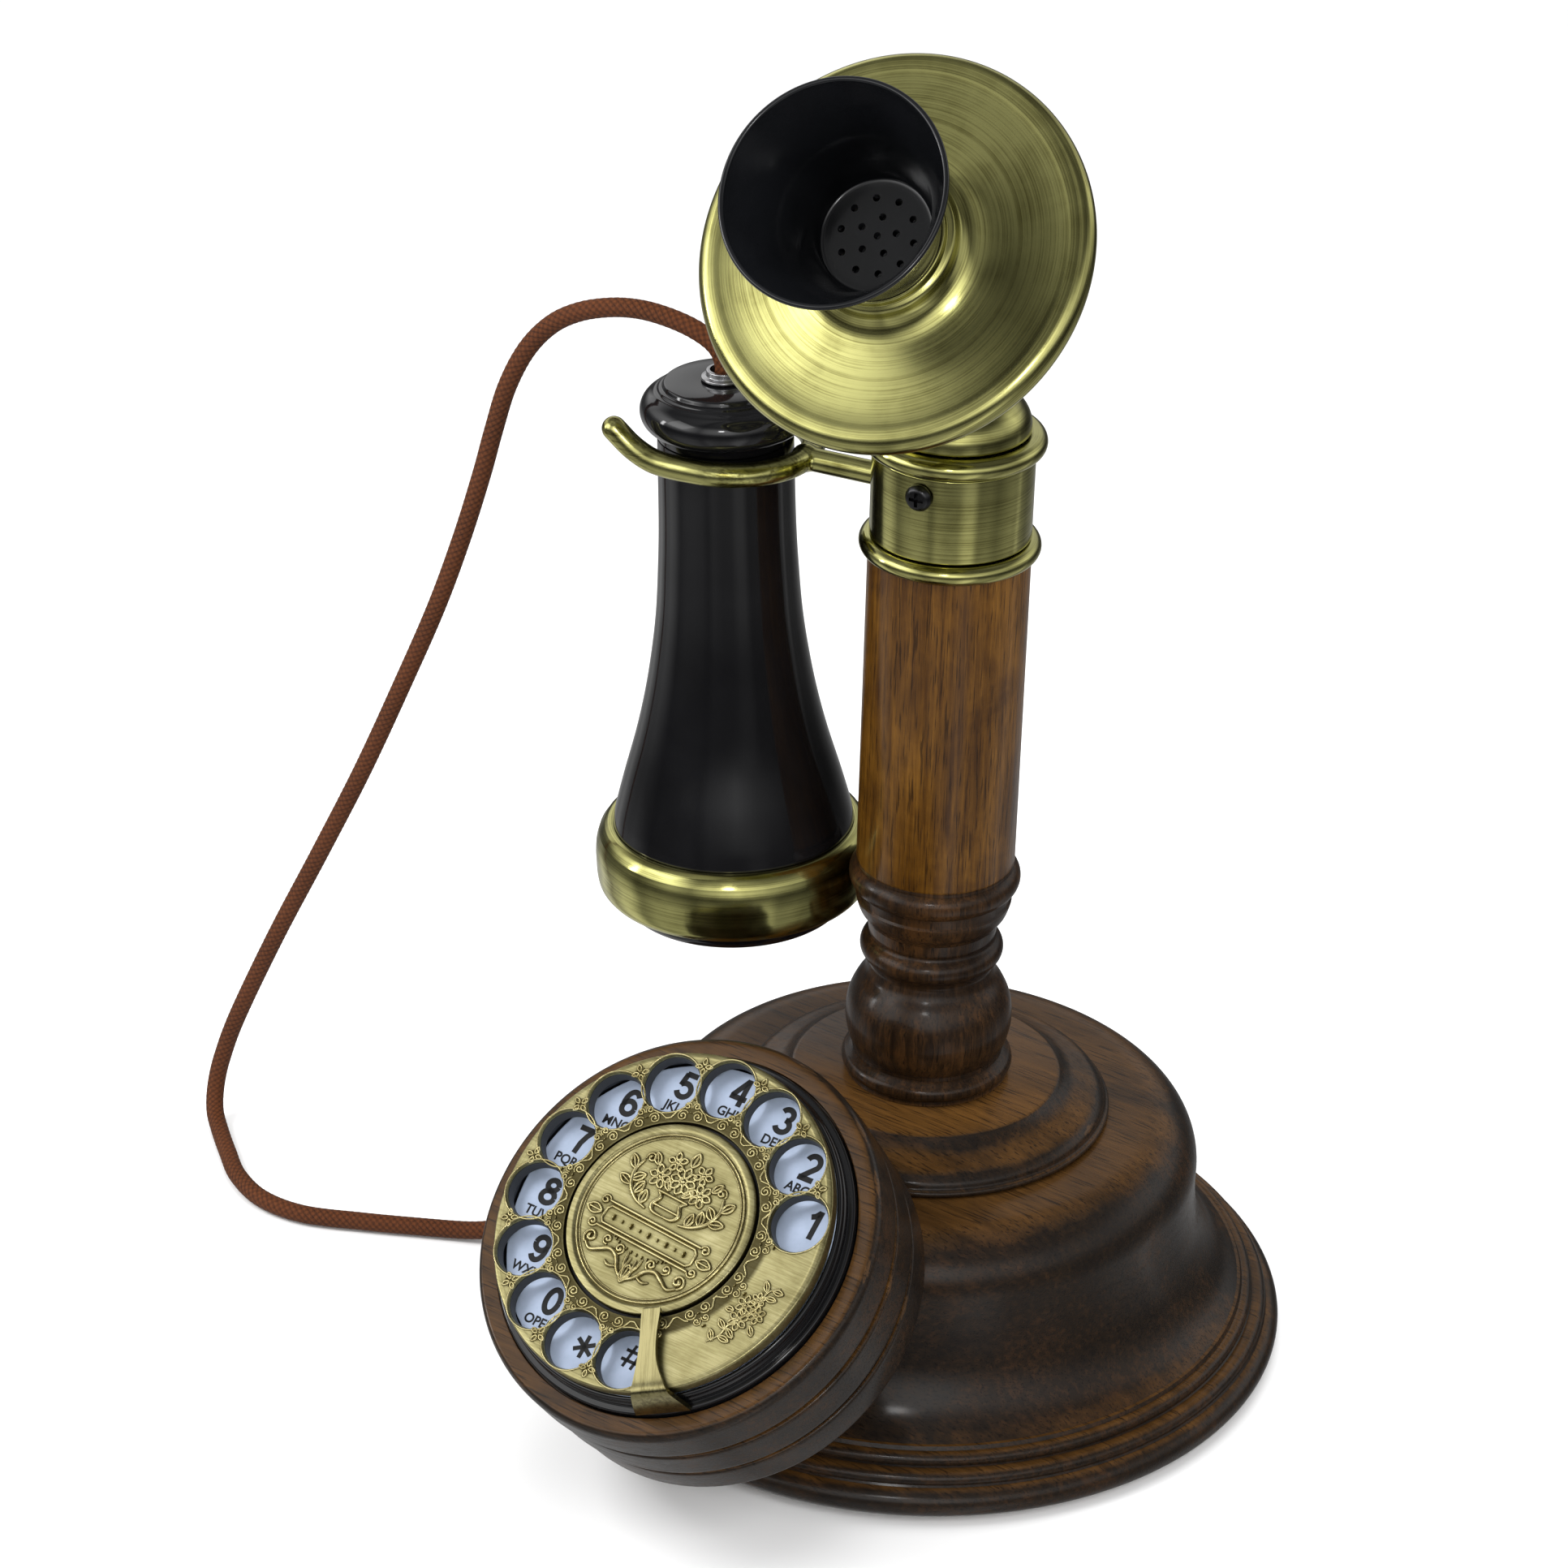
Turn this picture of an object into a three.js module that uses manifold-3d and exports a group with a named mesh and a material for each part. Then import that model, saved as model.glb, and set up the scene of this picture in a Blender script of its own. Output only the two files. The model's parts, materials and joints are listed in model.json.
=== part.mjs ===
// A candlestick telephone: a turned wooden base and column, a brass head with a tilting
// transmitter, a hook that carries the receiver, and a rotary dial in a round wooden pod.
// Millimetres, +Z up, the column's axis on Z, the dial facing -Y, the receiver on the -X side.
import * as THREE from 'three';
import { mergeVertices } from 'three/addons/utils/BufferGeometryUtils.js';
import Module from 'manifold-3d';

const wasm = await Module();
wasm.setup();

// ---------------------------------------------------------------- driving dimensions
const GAP = 0.3;                  // clearance between pieces that touch
const FINE = 24;                  // sides of the large turned pieces
const ROUND = 16;                 // sides of the medium turned pieces
const SMALL = 10;                 // sides of pins, screws and holes
const deg = THREE.MathUtils.degToRad;

const FELT_THICK = 1.2;
const BASE_BOTTOM = FELT_THICK + GAP;
const FOOT_R = 84;                // widest radius, at the lowest foot moulding
const SHELF_R = 49.9;             // flat shelf on top of the bell
const SHELF_Z = 57;
const PLATE_R = 73;
const CAVITY_R = 53;              // hollow inside the bell
const CAVITY_Z = 47;
const TIER_R = 41.8;              // turned step between bell and column
const TIER_TOP_R = 29.4;
const TIER_TOP = 66;
const SHAFT_R = 17.5;             // wooden column
const SHAFT_TOP = 194.5;
const SPIGOT_R = 15.2;            // top of the column, inside the brass collar
const SPIGOT_TOP = 200;
const ROD_R = 4;                  // tie rod through the column

const HEAD_TURN = 10.3;           // the collar, hook and transmitter stand turned on the column
const COLLAR_R = 17.35;
const COLLAR_WALL = 1.6;
const COLLAR_BOTTOM = 199;
const COLLAR_TOP = 218;
const COLLAR_SCREW_Z = 213.8;
const RING_R = 19.6;              // brass rings above and below the collar
const DOME_R = 16.2;
const DOME_BASE = 223.2;
const DOME_RISE = 10;
const TILT_Z = 243.5;             // height of the transmitter's tilt pivot
const EAR_R = 6.5;

const HOOK_Z = 208.5;
const HOOK_PIVOT_X = -5;
const HOOK_ROD_R = 2.7;
const FORK_R = 18;                // half of the fork's width, centre to centre
const FORK_X = -52.4;             // centre of the fork's round end
const FORK_TIP_X = -71.2;
const FORK_TIP_RISE = 6;

const RECEIVER_X = -49.3;         // receiver axis at the height of its brass band
const RECEIVER_Z = 110;
const RECEIVER_LEAN = 2.4;
const BAND_R = 31.3;
const CAP_R = 18.4;
const CAP_TOP = 112.8;            // above the band's middle

const DISC_Y = -34.9;             // middle of the transmitter's face plate
const DISC_Z = 273.9;
const DISC_TILT = 36.6;           // upward tilt of the transmitter
const BEAD_R = 38.2;              // middle of the rolled rim
const BEAD_WIRE = 3.2;
const HORN_R = 23.2;              // mouth of the black horn
const HORN_H = 38.9;

const DIAL_Y = -99;               // middle of the finger wheel's front
const DIAL_Z = 76.2;
const DIAL_LEAN = 38.4;           // the dial's front leans back from level by this angle
const WHEEL_R = 38.2;
const WHEEL_THICK = 3.2;
const HOLE_CIRCLE_R = 31.16;
const HOLE_R = 6.2;
const HOLE_COUNT = 12;
const HOLE_STEP = 24.11;
const HOLE_START = 20.3;
const MEDALLION_R = 21.4;
const POD_R = 45.7;               // front of the wooden pod; its two rear bands are a little smaller
const POD_MIDDLE_R = 45.2;
const POD_REAR_R = 44.6;
const POD_FACE = -8.2;            // front of the wooden pod, below the wheel's front
const LEDGE_Z = -6.9;             // step of the bezel that the finger stop stands on
const CARD_Z = -5.6;              // printed face of the number plate
const POD_BACK = -41.3;
const STOP_ANGLE = -62;           // where the finger stop stands, from +X

const CORD_R = 2.2;
const CORD_SIDES = 8;
const CORD_MOUTH = new THREE.Vector3(-77.3, -32.7, 7);    // where the cord enters the foot

// ---------------------------------------------------------------- materials
function material(color, roughness, metalness = 0) {
  return () => new THREE.MeshStandardMaterial({ color, roughness, metalness });
}
const walnut = material(0x3d2416, 0.38);
const lightWalnut = material(0x6b4423, 0.42);
const antiqueBrass = material(0x9a8f4c, 0.3, 1);
const dialBrass = material(0x8f7d45, 0.38, 1);
const blackGloss = material(0x0b0b0d, 0.12);
const blackMatte = material(0x1a1a1a, 0.6);
const steel = material(0xb9bbbd, 0.3, 1);
const blackSteel = material(0x141414, 0.35, 1);
const paper = material(0xc9d3e6, 0.5);
const feltCloth = material(0x1c2a20, 0.95);
const castIron = material(0x3c3c3e, 0.7, 0.6);
const boardGreen = material(0x1f5a35, 0.5);
const braid = material(0x5f3a1f, 0.9);

// ---------------------------------------------------------------- geometry helpers
const V2 = (x, y) => new THREE.Vector2(x, y);
const V3 = (x, y, z) => new THREE.Vector3(x, y, z);

// A closed, merged mesh without collapsed triangles, with its faces pointing out.
function closed(geometry) {
  const bare = geometry.index ? geometry.toNonIndexed() : geometry.clone();
  bare.deleteAttribute('normal');
  bare.deleteAttribute('uv');
  const merged = mergeVertices(bare, 1e-4);
  const place = merged.getAttribute('position');
  const index = merged.getIndex().array;
  const kept = [];
  let volume = 0;
  const [a, b, c] = [V3(), V3(), V3()];
  for (let i = 0; i < index.length; i += 3) {
    const [p, q, r] = [index[i], index[i + 1], index[i + 2]];
    if (p === q || q === r || r === p) continue;
    kept.push(p, q, r);
    a.fromBufferAttribute(place, p);
    b.fromBufferAttribute(place, q);
    c.fromBufferAttribute(place, r);
    volume += a.dot(b.cross(c));
  }
  if (volume < 0) kept.reverse();
  const out = new THREE.BufferGeometry();
  out.setAttribute('position', place.clone());
  out.setIndex(kept);
  return out;
}

function toSolid(geometry) {
  const clean = closed(geometry);
  return new wasm.Manifold(new wasm.Mesh({
    numProp: 3,
    vertProperties: new Float32Array(clean.getAttribute('position').array),
    triVerts: new Uint32Array(clean.getIndex().array),
  }));
}

function toGeometry(solid) {
  const mesh = solid.getMesh();
  const out = new THREE.BufferGeometry();
  out.setAttribute('position', new THREE.BufferAttribute(mesh.vertProperties, 3));
  out.setIndex(new THREE.BufferAttribute(mesh.triVerts, 1));
  return out;
}

function cut(geometry, ...tools) {
  return toGeometry(tools.reduce((solid, tool) => solid.subtract(toSolid(tool)), toSolid(geometry)));
}

function join(geometry, ...others) {
  return toGeometry(others.reduce((solid, other) => solid.add(toSolid(other)), toSolid(geometry)));
}

// Turned piece about Z from [radius, height] pairs; a ring's outline closes on itself.
function turned(outline, sides = ROUND) {
  const points = outline.map(([r, z]) => V2(r, z));
  const onAxis = outline[0][0] === 0 && outline[outline.length - 1][0] === 0;
  if (!onAxis) points.push(points[0].clone());
  return new THREE.LatheGeometry(points, sides).rotateX(Math.PI / 2);
}

// Points on an arc in the [radius, height] plane, angles in degrees from the +radius direction.
function arc(r, z, radius, from, to, steps) {
  const out = [];
  for (let i = 0; i <= steps; i += 1) {
    const a = deg(from + ((to - from) * i) / steps);
    out.push([r + radius * Math.cos(a), z + radius * Math.sin(a)]);
  }
  return out;
}

function rod(radius, from, to, sides = SMALL) {
  const along = to.clone().sub(from);
  const geometry = new THREE.CylinderGeometry(radius, radius, along.length(), sides);
  geometry.applyQuaternion(new THREE.Quaternion().setFromUnitVectors(V3(0, 1, 0), along.normalize()));
  return geometry.translate(...from.clone().add(to).multiplyScalar(0.5).toArray());
}

function block(x, y, z, cx, cy, cz) {
  return new THREE.BoxGeometry(x, y, z).translate(cx, cy, cz);
}

// Rod of round section bent along a smooth curve.
function bentRod(points, radius, steps, sides = 10) {
  const section = new THREE.Shape();
  section.absarc(0, 0, radius, 0, 2 * Math.PI);
  const curve = new THREE.CatmullRomCurve3(points, false, 'centripetal');
  return new THREE.ExtrudeGeometry(section, {
    steps, curveSegments: sides / 2, bevelEnabled: false, extrudePath: curve,
  });
}

// ---------------------------------------------------------------- scene graph
const phone = new THREE.Group();
const head = new THREE.Group();
head.rotation.z = deg(HEAD_TURN);
const transmitter = new THREE.Group();
transmitter.position.set(0, DISC_Y, DISC_Z);
transmitter.rotation.x = deg(90 - DISC_TILT);
const receiver = new THREE.Group();
receiver.position.set(RECEIVER_X, 0, RECEIVER_Z);
receiver.rotation.y = deg(-RECEIVER_LEAN);
head.add(transmitter, receiver);
const dial = new THREE.Group();
dial.position.set(0, DIAL_Y, DIAL_Z);
dial.rotation.x = deg(DIAL_LEAN);
phone.add(head, dial);

function piece(parent, name, geometry, finish) {
  const mesh = new THREE.Mesh(closed(geometry), finish());
  mesh.name = name;
  parent.add(mesh);
}

// ---------------------------------------------------------------- base
// Outside of the bell, from the bottom of the foot up to the shelf, moved out by a clearance.
function bellOutline(clear = 0) {
  return [
    [82.2 + clear, BASE_BOTTOM - clear],
    ...arc(80.6, 4.9, 3.4 + clear, -50, 75, 4),
    [81.2 + clear, 8.5],
    ...arc(78.6, 8.6, 2.2 + clear, 10, 80, 2),
    [78.6 + clear, 11.2],
    ...arc(75.6, 11.3, 2.4 + clear, 10, 90, 2),
    [73.4 + clear, 14.4],
    [69.2 + clear, 18.6],
    [65.4 + clear, 24.5],
    [63.2 + clear, 32],
    ...arc(50, 44.4, 12.4 + clear, 0, 88, 5),
    [SHELF_R - 2, SHELF_Z + clear],
  ];
}

function dialPoint(x, y, z) {
  return V3(x, y, z).applyEuler(new THREE.Euler(deg(DIAL_LEAN), 0, 0)).add(V3(0, DIAL_Y, DIAL_Z));
}

const JACK_Z = 17;
const SCREW_CIRCLE_R = 69.5;

function screwPlaces(count, radius, start) {
  return Array.from({ length: count }, (_, i) => {
    const a = deg(start + (360 * i) / count);
    return V3(radius * Math.cos(a), radius * Math.sin(a), 0);
  });
}

function addBase() {
  const intoFoot = V3(-CORD_MOUTH.x, -CORD_MOUTH.y, 0).normalize();
  const cordHole = rod(4.2, CORD_MOUTH.clone().addScaledVector(intoFoot, -12),
    CORD_MOUTH.clone().addScaledVector(intoFoot, 30));
  const jackPocket = block(14.6, 34, 14.2, 0, 66, JACK_Z);
  const neckHole = rod(2.3, dialPoint(0, 0, -50), dialPoint(0, 0, -66));
  const rodHole = rod(ROD_R + GAP, V3(0, 0, 40), V3(0, 0, 70), ROUND);
  const plateHoles = screwPlaces(4, SCREW_CIRCLE_R, 45)
    .map((p) => rod(1.8, p.clone().setZ(4), p.clone().setZ(12)));
  const inside = [
    [0, CAVITY_Z], [CAVITY_R - 4, CAVITY_Z], [CAVITY_R, CAVITY_Z - 5], [CAVITY_R + 1, 30],
    [60, 16], [64, 9], [64, 4.8], [PLATE_R + GAP, 4.8], [PLATE_R + GAP, BASE_BOTTOM],
  ];
  const bell = turned([[0, SHELF_Z], ...bellOutline().reverse(), ...inside.reverse()], FINE);
  piece(phone, 'base_bell', cut(bell, cordHole, jackPocket, neckHole, rodHole, ...plateHoles), walnut);

  const tier = turned([
    [ROD_R + GAP, SHELF_Z + GAP], [TIER_R - 0.6, SHELF_Z + GAP], [TIER_R, SHELF_Z + 0.9],
    ...arc(TIER_R - 3.2, SHELF_Z + 2, 3.2, 0, 70, 3),
    [36.6, 61.8], [33.6, 63.2], [31.2, 65],
    ...arc(TIER_TOP_R, TIER_TOP - 1, 1, 0, 90, 2),
    [ROD_R + GAP, TIER_TOP],
  ], FINE);
  piece(phone, 'base_tier', tier, walnut);

  const plate = turned([[0, BASE_BOTTOM], [PLATE_R, BASE_BOTTOM], [PLATE_R, 4.5], [0, 4.5]], FINE);
  const plateCuts = screwPlaces(4, SCREW_CIRCLE_R, 45).flatMap((p) => [
    rod(1.8, p.clone().setZ(0), p.clone().setZ(6)),
    rod(3.3, p.clone().setZ(0), p.clone().setZ(3.1)),
  ]);
  piece(phone, 'base_plate', cut(plate, ...plateCuts), blackMatte);
  piece(phone, 'base_felt', turned([[0, 0], [79, 0], [79, FELT_THICK], [0, FELT_THICK]], FINE), feltCloth);

  screwPlaces(4, SCREW_CIRCLE_R, 45).forEach((p, i) => {
    const screw = turned([[0, 1.6], [2.9, 1.6], [2.9, 2.8], [1.5, 2.8], [1.5, 11], [0, 11]], SMALL);
    piece(phone, `base_screw_${i + 1}`, screw.translate(p.x, p.y, 0), steel);
  });

  const weight = turned([[16, 4.8], [46, 4.8], [46, 13], [16, 13]], ROUND);
  piece(phone, 'ballast_ring', weight, castIron);

  const boardZ = 24;
  piece(phone, 'circuit_board', block(64, 40, 1.6, 0, 6, boardZ), boardGreen);
  for (const side of [-1, 1]) {
    const name = side < 0 ? 'board_post_left' : 'board_post_right';
    const post = rod(3, V3(side * 27, 6, 13.3), V3(side * 27, 6, boardZ - 1.1));
    piece(phone, name, post, steel);
  }
  piece(phone, 'ringer_sounder', rod(15, V3(0, 6, boardZ + 1.1), V3(0, 6, boardZ + 11), ROUND), blackMatte);

  const jackBody = block(13.8, 14, 13.4, 0, 58.5, JACK_Z);
  piece(phone, 'line_jack', cut(jackBody, block(11.6, 12, 8, 0, 62, JACK_Z)), blackMatte);

  // Bushing in the foot; its flange stands outside the moulding.
  const bushing = turned([
    [CORD_R + GAP, -1.6], [4.4, -1.6], [4.7, -1.1], [4.7, -0.2], [3.9, 0.1], [3.9, 9], [CORD_R + GAP, 9],
  ], SMALL);
  bushing.applyQuaternion(new THREE.Quaternion().setFromUnitVectors(V3(0, 0, 1), intoFoot));
  bushing.translate(...CORD_MOUTH.clone().addScaledVector(intoFoot, -0.5).toArray());
  piece(phone, 'cord_bushing', bushing, blackMatte);
}

// ---------------------------------------------------------------- column
function addColumn() {
  const bore = ROD_R + GAP;
  const outline = [
    [bore, TIER_TOP + GAP], [18.6, TIER_TOP + GAP],
    ...arc(17, 69.2, 2.3, -50, 60, 4),
    [17, 72], [16.9, 73],
    [17.6, 74.4], [18.4, 77], [18.7, 80], [18.3, 84], [17, 87.6], [14.8, 90.6], [13.9, 93],
    ...arc(12.6, 98.2, 3.1, -55, 70, 5),
    [13.9, 101.6], [14.2, 104.8], [15.6, 106.4], [16.9, 108.4], [17.3, 110.2], [17, 111.6],
    ...arc(15.6, 116.6, 3.4, -50, 55, 5),
    [SHAFT_R, 119.8], [SHAFT_R, SHAFT_TOP],
    [SPIGOT_R, SHAFT_TOP], [SPIGOT_R, SPIGOT_TOP], [bore, SPIGOT_TOP],
  ];
  piece(phone, 'column', turned(outline), lightWalnut);

  piece(phone, 'tie_rod', turned([
    [2.6, 42.5], [ROD_R, 42.5], [ROD_R, SPIGOT_TOP + 3.8], [2.6, SPIGOT_TOP + 3.8],
  ], SMALL), steel);
  const nutAt = (low, high) => turned([
    [ROD_R + 1, low], [7.6, low], [7.6, high], [ROD_R + 1, high],
  ], 6);
  piece(phone, 'tie_nut_lower', nutAt(43, CAVITY_Z - GAP), steel);
  piece(phone, 'tie_nut_upper', nutAt(SPIGOT_TOP + GAP, SPIGOT_TOP + 3.5), steel);
}

// ---------------------------------------------------------------- brass head
function addHead() {
  const lower = turned([
    [SPIGOT_R + GAP, SHAFT_TOP + GAP], [SHAFT_R + 0.2, SHAFT_TOP + GAP],
    ...arc(RING_R - 2.2, 196.5, 2.2, -45, 80, 4),
    [SPIGOT_R + GAP, 199 - GAP],
  ]);
  piece(head, 'collar_ring_lower', lower, antiqueBrass);

  const sleeve = turned([
    [COLLAR_R - COLLAR_WALL, COLLAR_BOTTOM], [COLLAR_R, COLLAR_BOTTOM],
    [COLLAR_R, COLLAR_TOP], [COLLAR_R - COLLAR_WALL, COLLAR_TOP],
  ]);
  const slot = block(10, 7, 8.6, -COLLAR_R, 0, HOOK_Z + 1.1);
  const screwHole = rod(1.9, V3(0, -COLLAR_R - 4, COLLAR_SCREW_Z), V3(0, -COLLAR_R + 4, COLLAR_SCREW_Z));
  piece(head, 'collar_sleeve', cut(sleeve, slot, screwHole), antiqueBrass);

  const screw = turned([[0, 0], [1.6, 0], [1.6, 3.6], [3, 3.6], [3, 4.4], [2.4, 5.3], [0, 5.6]], SMALL);
  screw.rotateX(Math.PI / 2).translate(0, -COLLAR_R + 3.3, COLLAR_SCREW_Z);
  piece(head, 'collar_screw', screw, blackSteel);

  const upper = turned([
    [COLLAR_R - COLLAR_WALL, COLLAR_TOP + GAP],
    ...arc(RING_R - 2.3, 220.6, 2.3, -85, 85, 5),
    [COLLAR_R - COLLAR_WALL, DOME_BASE - GAP],
  ]);
  piece(head, 'collar_ring_upper', upper, antiqueBrass);

  const shell = [];
  for (let i = 0; i <= 7; i += 1) {
    const a = deg((90 * i) / 7);
    shell.push([i === 7 ? 0 : DOME_R * Math.cos(a), DOME_BASE + 0.8 + DOME_RISE * Math.sin(a)]);
  }
  const dome = turned([[0, DOME_BASE], [DOME_R, DOME_BASE], ...shell]);
  const ears = [-1, 1].flatMap((side) => [
    rod(EAR_R, V3(side * 4, 0, TILT_Z), V3(side * 7, 0, TILT_Z), 20),
    block(3, 2 * EAR_R, TILT_Z - 229, side * 5.5, 0, (TILT_Z + 229) / 2),
  ]);
  const pinHole = rod(2.4, V3(-12, 0, TILT_Z), V3(12, 0, TILT_Z));
  piece(head, 'dome_yoke', cut(join(dome, ...ears), pinHole), antiqueBrass);

  const along = (g) => g.rotateY(Math.PI / 2).translate(0, 0, TILT_Z);
  piece(head, 'tilt_screw', along(turned([
    [0, -11.5], [2, -11.5], [2, 7.3], [4.3, 7.3], [4.3, 9.4], [3.6, 10.2], [0, 10.2],
  ], SMALL)), blackSteel);
  piece(head, 'tilt_nut', along(turned([[2.6, -10.4], [4.8, -10.4], [4.8, -7.3], [2.6, -7.3]], 6)), steel);

  piece(head, 'hook_pin', rod(1.5, V3(HOOK_PIVOT_X, -13, HOOK_Z), V3(HOOK_PIVOT_X, 13, HOOK_Z)), steel);
  piece(head, 'hook_switch', block(7, 11, 6, 7.5, 0, HOOK_Z + 1), blackMatte);
}

// ---------------------------------------------------------------- hook
function addHook() {
  // Half of the fork's centre line, from the middle of its round end out to the tip.
  const half = [];
  for (const a of [0, 22.5, 45, 67.5, 90]) {
    half.push(V3(FORK_X + FORK_R * Math.cos(deg(a)), -FORK_R * Math.sin(deg(a)), HOOK_Z));
  }
  half.push(V3(-58, -FORK_R, HOOK_Z), V3(-62.5, -FORK_R, HOOK_Z + 0.6), V3(-67, -FORK_R, HOOK_Z + 2.7));
  half.push(V3(FORK_TIP_X, -FORK_R, HOOK_Z + FORK_TIP_RISE));
  const mirrored = half.slice(1).reverse().map((p) => V3(p.x, -p.y, p.z));
  const fork = bentRod([...mirrored, ...half], HOOK_ROD_R, 26, 8);
  const balls = [-1, 1].map((side) => new THREE.SphereGeometry(HOOK_ROD_R + 0.1, 10, 6)
    .translate(FORK_TIP_X, side * FORK_R, HOOK_Z + FORK_TIP_RISE));
  const arm = rod(HOOK_ROD_R - 0.1, V3(FORK_X + FORK_R, 0, HOOK_Z), V3(HOOK_PIVOT_X, 0, HOOK_Z), 12);
  const hub = rod(4.4, V3(HOOK_PIVOT_X, -4, HOOK_Z), V3(HOOK_PIVOT_X, 4, HOOK_Z));
  const hole = rod(1.8, V3(HOOK_PIVOT_X, -8, HOOK_Z), V3(HOOK_PIVOT_X, 8, HOOK_Z));
  piece(head, 'hook_lever', cut(join(fork, arm, hub, ...balls), hole), antiqueBrass);
}

// ---------------------------------------------------------------- transmitter
function addTransmitter() {
  const plate = turned([
    [12.6, 11.6], [13.6, 11.6], [13.8, 9.6], [15, 7.4], [17.6, 5.6], [21.5, 4.4], [28, 3.5], [35, 2.6],
    ...arc(BEAD_R, 0, BEAD_WIRE, 115, -90, 6),
    [36.4, -2.2], [35.4, 1.1], [28, 1.9], [21, 2.8], [16.6, 4.2], [12.6, 7],
  ], FINE);
  piece(transmitter, 'face_plate', plate, antiqueBrass);

  // Position of the tilt pivot in the transmitter's own frame.
  const pivot = V3(0, -DISC_Y, TILT_Z - DISC_Z).applyEuler(new THREE.Euler(-deg(90 - DISC_TILT), 0, 0));
  const cup = turned([
    [0, -28.4], [7, -28], [14, -26], [22, -21.6], [29.4, -15.4], [34.6, -8.6], [36.6, -3.6],
    [34.8, -3.6], [32.8, -8], [26, -15.8], [13.4, -24], [0, -26.2],
  ], FINE);
  const back = V3(0, -2.4, -26.9);
  const outward = pivot.clone().sub(back).normalize();
  const neck = rod(3.4, back, pivot, 14);
  const root = new THREE.CylinderGeometry(3.4, 8, 7, 20);
  root.applyQuaternion(new THREE.Quaternion().setFromUnitVectors(V3(0, 1, 0), outward));
  root.translate(...back.clone().addScaledVector(outward, 3.4).toArray());
  const knuckle = rod(EAR_R - 0.4, pivot.clone().setX(-3.6), pivot.clone().setX(3.6), 20);
  const hole = rod(2.4, pivot.clone().setX(-9), pivot.clone().setX(9));
  piece(transmitter, 'transmitter_cup', cut(join(cup, root, neck, knuckle), hole), antiqueBrass);

  piece(transmitter, 'microphone_capsule', turned([
    [0, -12], [17, -12], [18, -11], [18, -2], [16.8, -0.6], [0, -0.6],
  ]), steel);

  const horn = turned([
    [0, 11.2], [11.6, 11.2], [12.5, 13.6], [14, 19.4], [16, 25.8], [18.6, 31.8],
    [22.6, HORN_H], [HORN_R, 38.2], [22.4, 36.6], [19.8, 31.8], [17.2, 25.2],
    [14.8, 17], [13.6, 11.9], [12.3, 11.9], [12.3, 5.4], [10.4, 5.4], [10.4, 9.2], [0, 9.2],
  ]);
  const perforations = [V3(0, 0, 0), ...screwPlaces(5, 3.9, 90), ...screwPlaces(10, 7.8, 72)];
  const drills = perforations.map((p) => rod(0.75, p.clone().setZ(5), p.clone().setZ(14), 6));
  piece(transmitter, 'mouthpiece_horn', cut(horn, ...drills), blackGloss);
}

// ---------------------------------------------------------------- receiver
function addReceiver() {
  const shell = turned([
    [25.8, -8], [25.8, 6.9], [27.1, 7.3], [26, 12.5], [24.4, 18.2], [21.4, 28.8], [19.1, 38.8],
    [17.4, 48.6], [16.2, 58], [15.5, 68], [15, 80], [14.8, 100],
    [13.2, 100], [13.6, 72], [15.6, 49], [19.7, 29], [24.2, 11], [24.2, -8],
  ]);
  piece(receiver, 'receiver_shell', shell, blackGloss);

  const cap = turned([
    [3.1, 100.3], [14.8, 100.3], [14.8, 101.6],
    ...arc(14, 106.3, 4.4, -65, 65, 6),
    [14.9, 110.9], [14.4, 111.2], [13.5, 111.4], [13.2, 112.2], [12.7, CAP_TOP], [3.1, CAP_TOP],
  ]);
  piece(receiver, 'receiver_cap', cap, blackGloss);

  const band = turned([
    [26.1, -9.2], [28.2, -9.2], [30, -8.4], [31, -6.6], [31.2, -3.6], [BAND_R, -0.6], [31, 2.4], [30.2, 4.6],
    [28.9, 6.4], [27.4, 7], [26.1, 6.6],
  ]);
  piece(receiver, 'receiver_band', band, antiqueBrass);

  const ear = turned([
    [0, -8.4], [25.8, -8.4], [25.8, -9.6], [24.9, -11.6],
    [22.6, -13.2], [20.6, -13.2], [17, -11.9], [0, -11.2],
  ]);
  const listening = [V3(0, 0, 0), ...screwPlaces(6, 6.5, 0)];
  const drills = listening.map((p) => rod(1.2, p.clone().setZ(-16), p.clone().setZ(-4), 6));
  piece(receiver, 'earpiece', cut(ear, ...drills), blackGloss);

  piece(receiver, 'speaker_capsule', turned([
    [0, -8], [20, -8], [20, -1], [16, 2.4], [0, 2.4],
  ]), steel);

  piece(receiver, 'cord_clip', turned([
    [3.1, CAP_TOP + GAP], [5, CAP_TOP + GAP], [5, CAP_TOP + 0.9], [3.9, CAP_TOP + 1],
    [3.9, CAP_TOP + 2.4], [3.1, CAP_TOP + 2.4],
  ], SMALL), steel);
}

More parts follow.
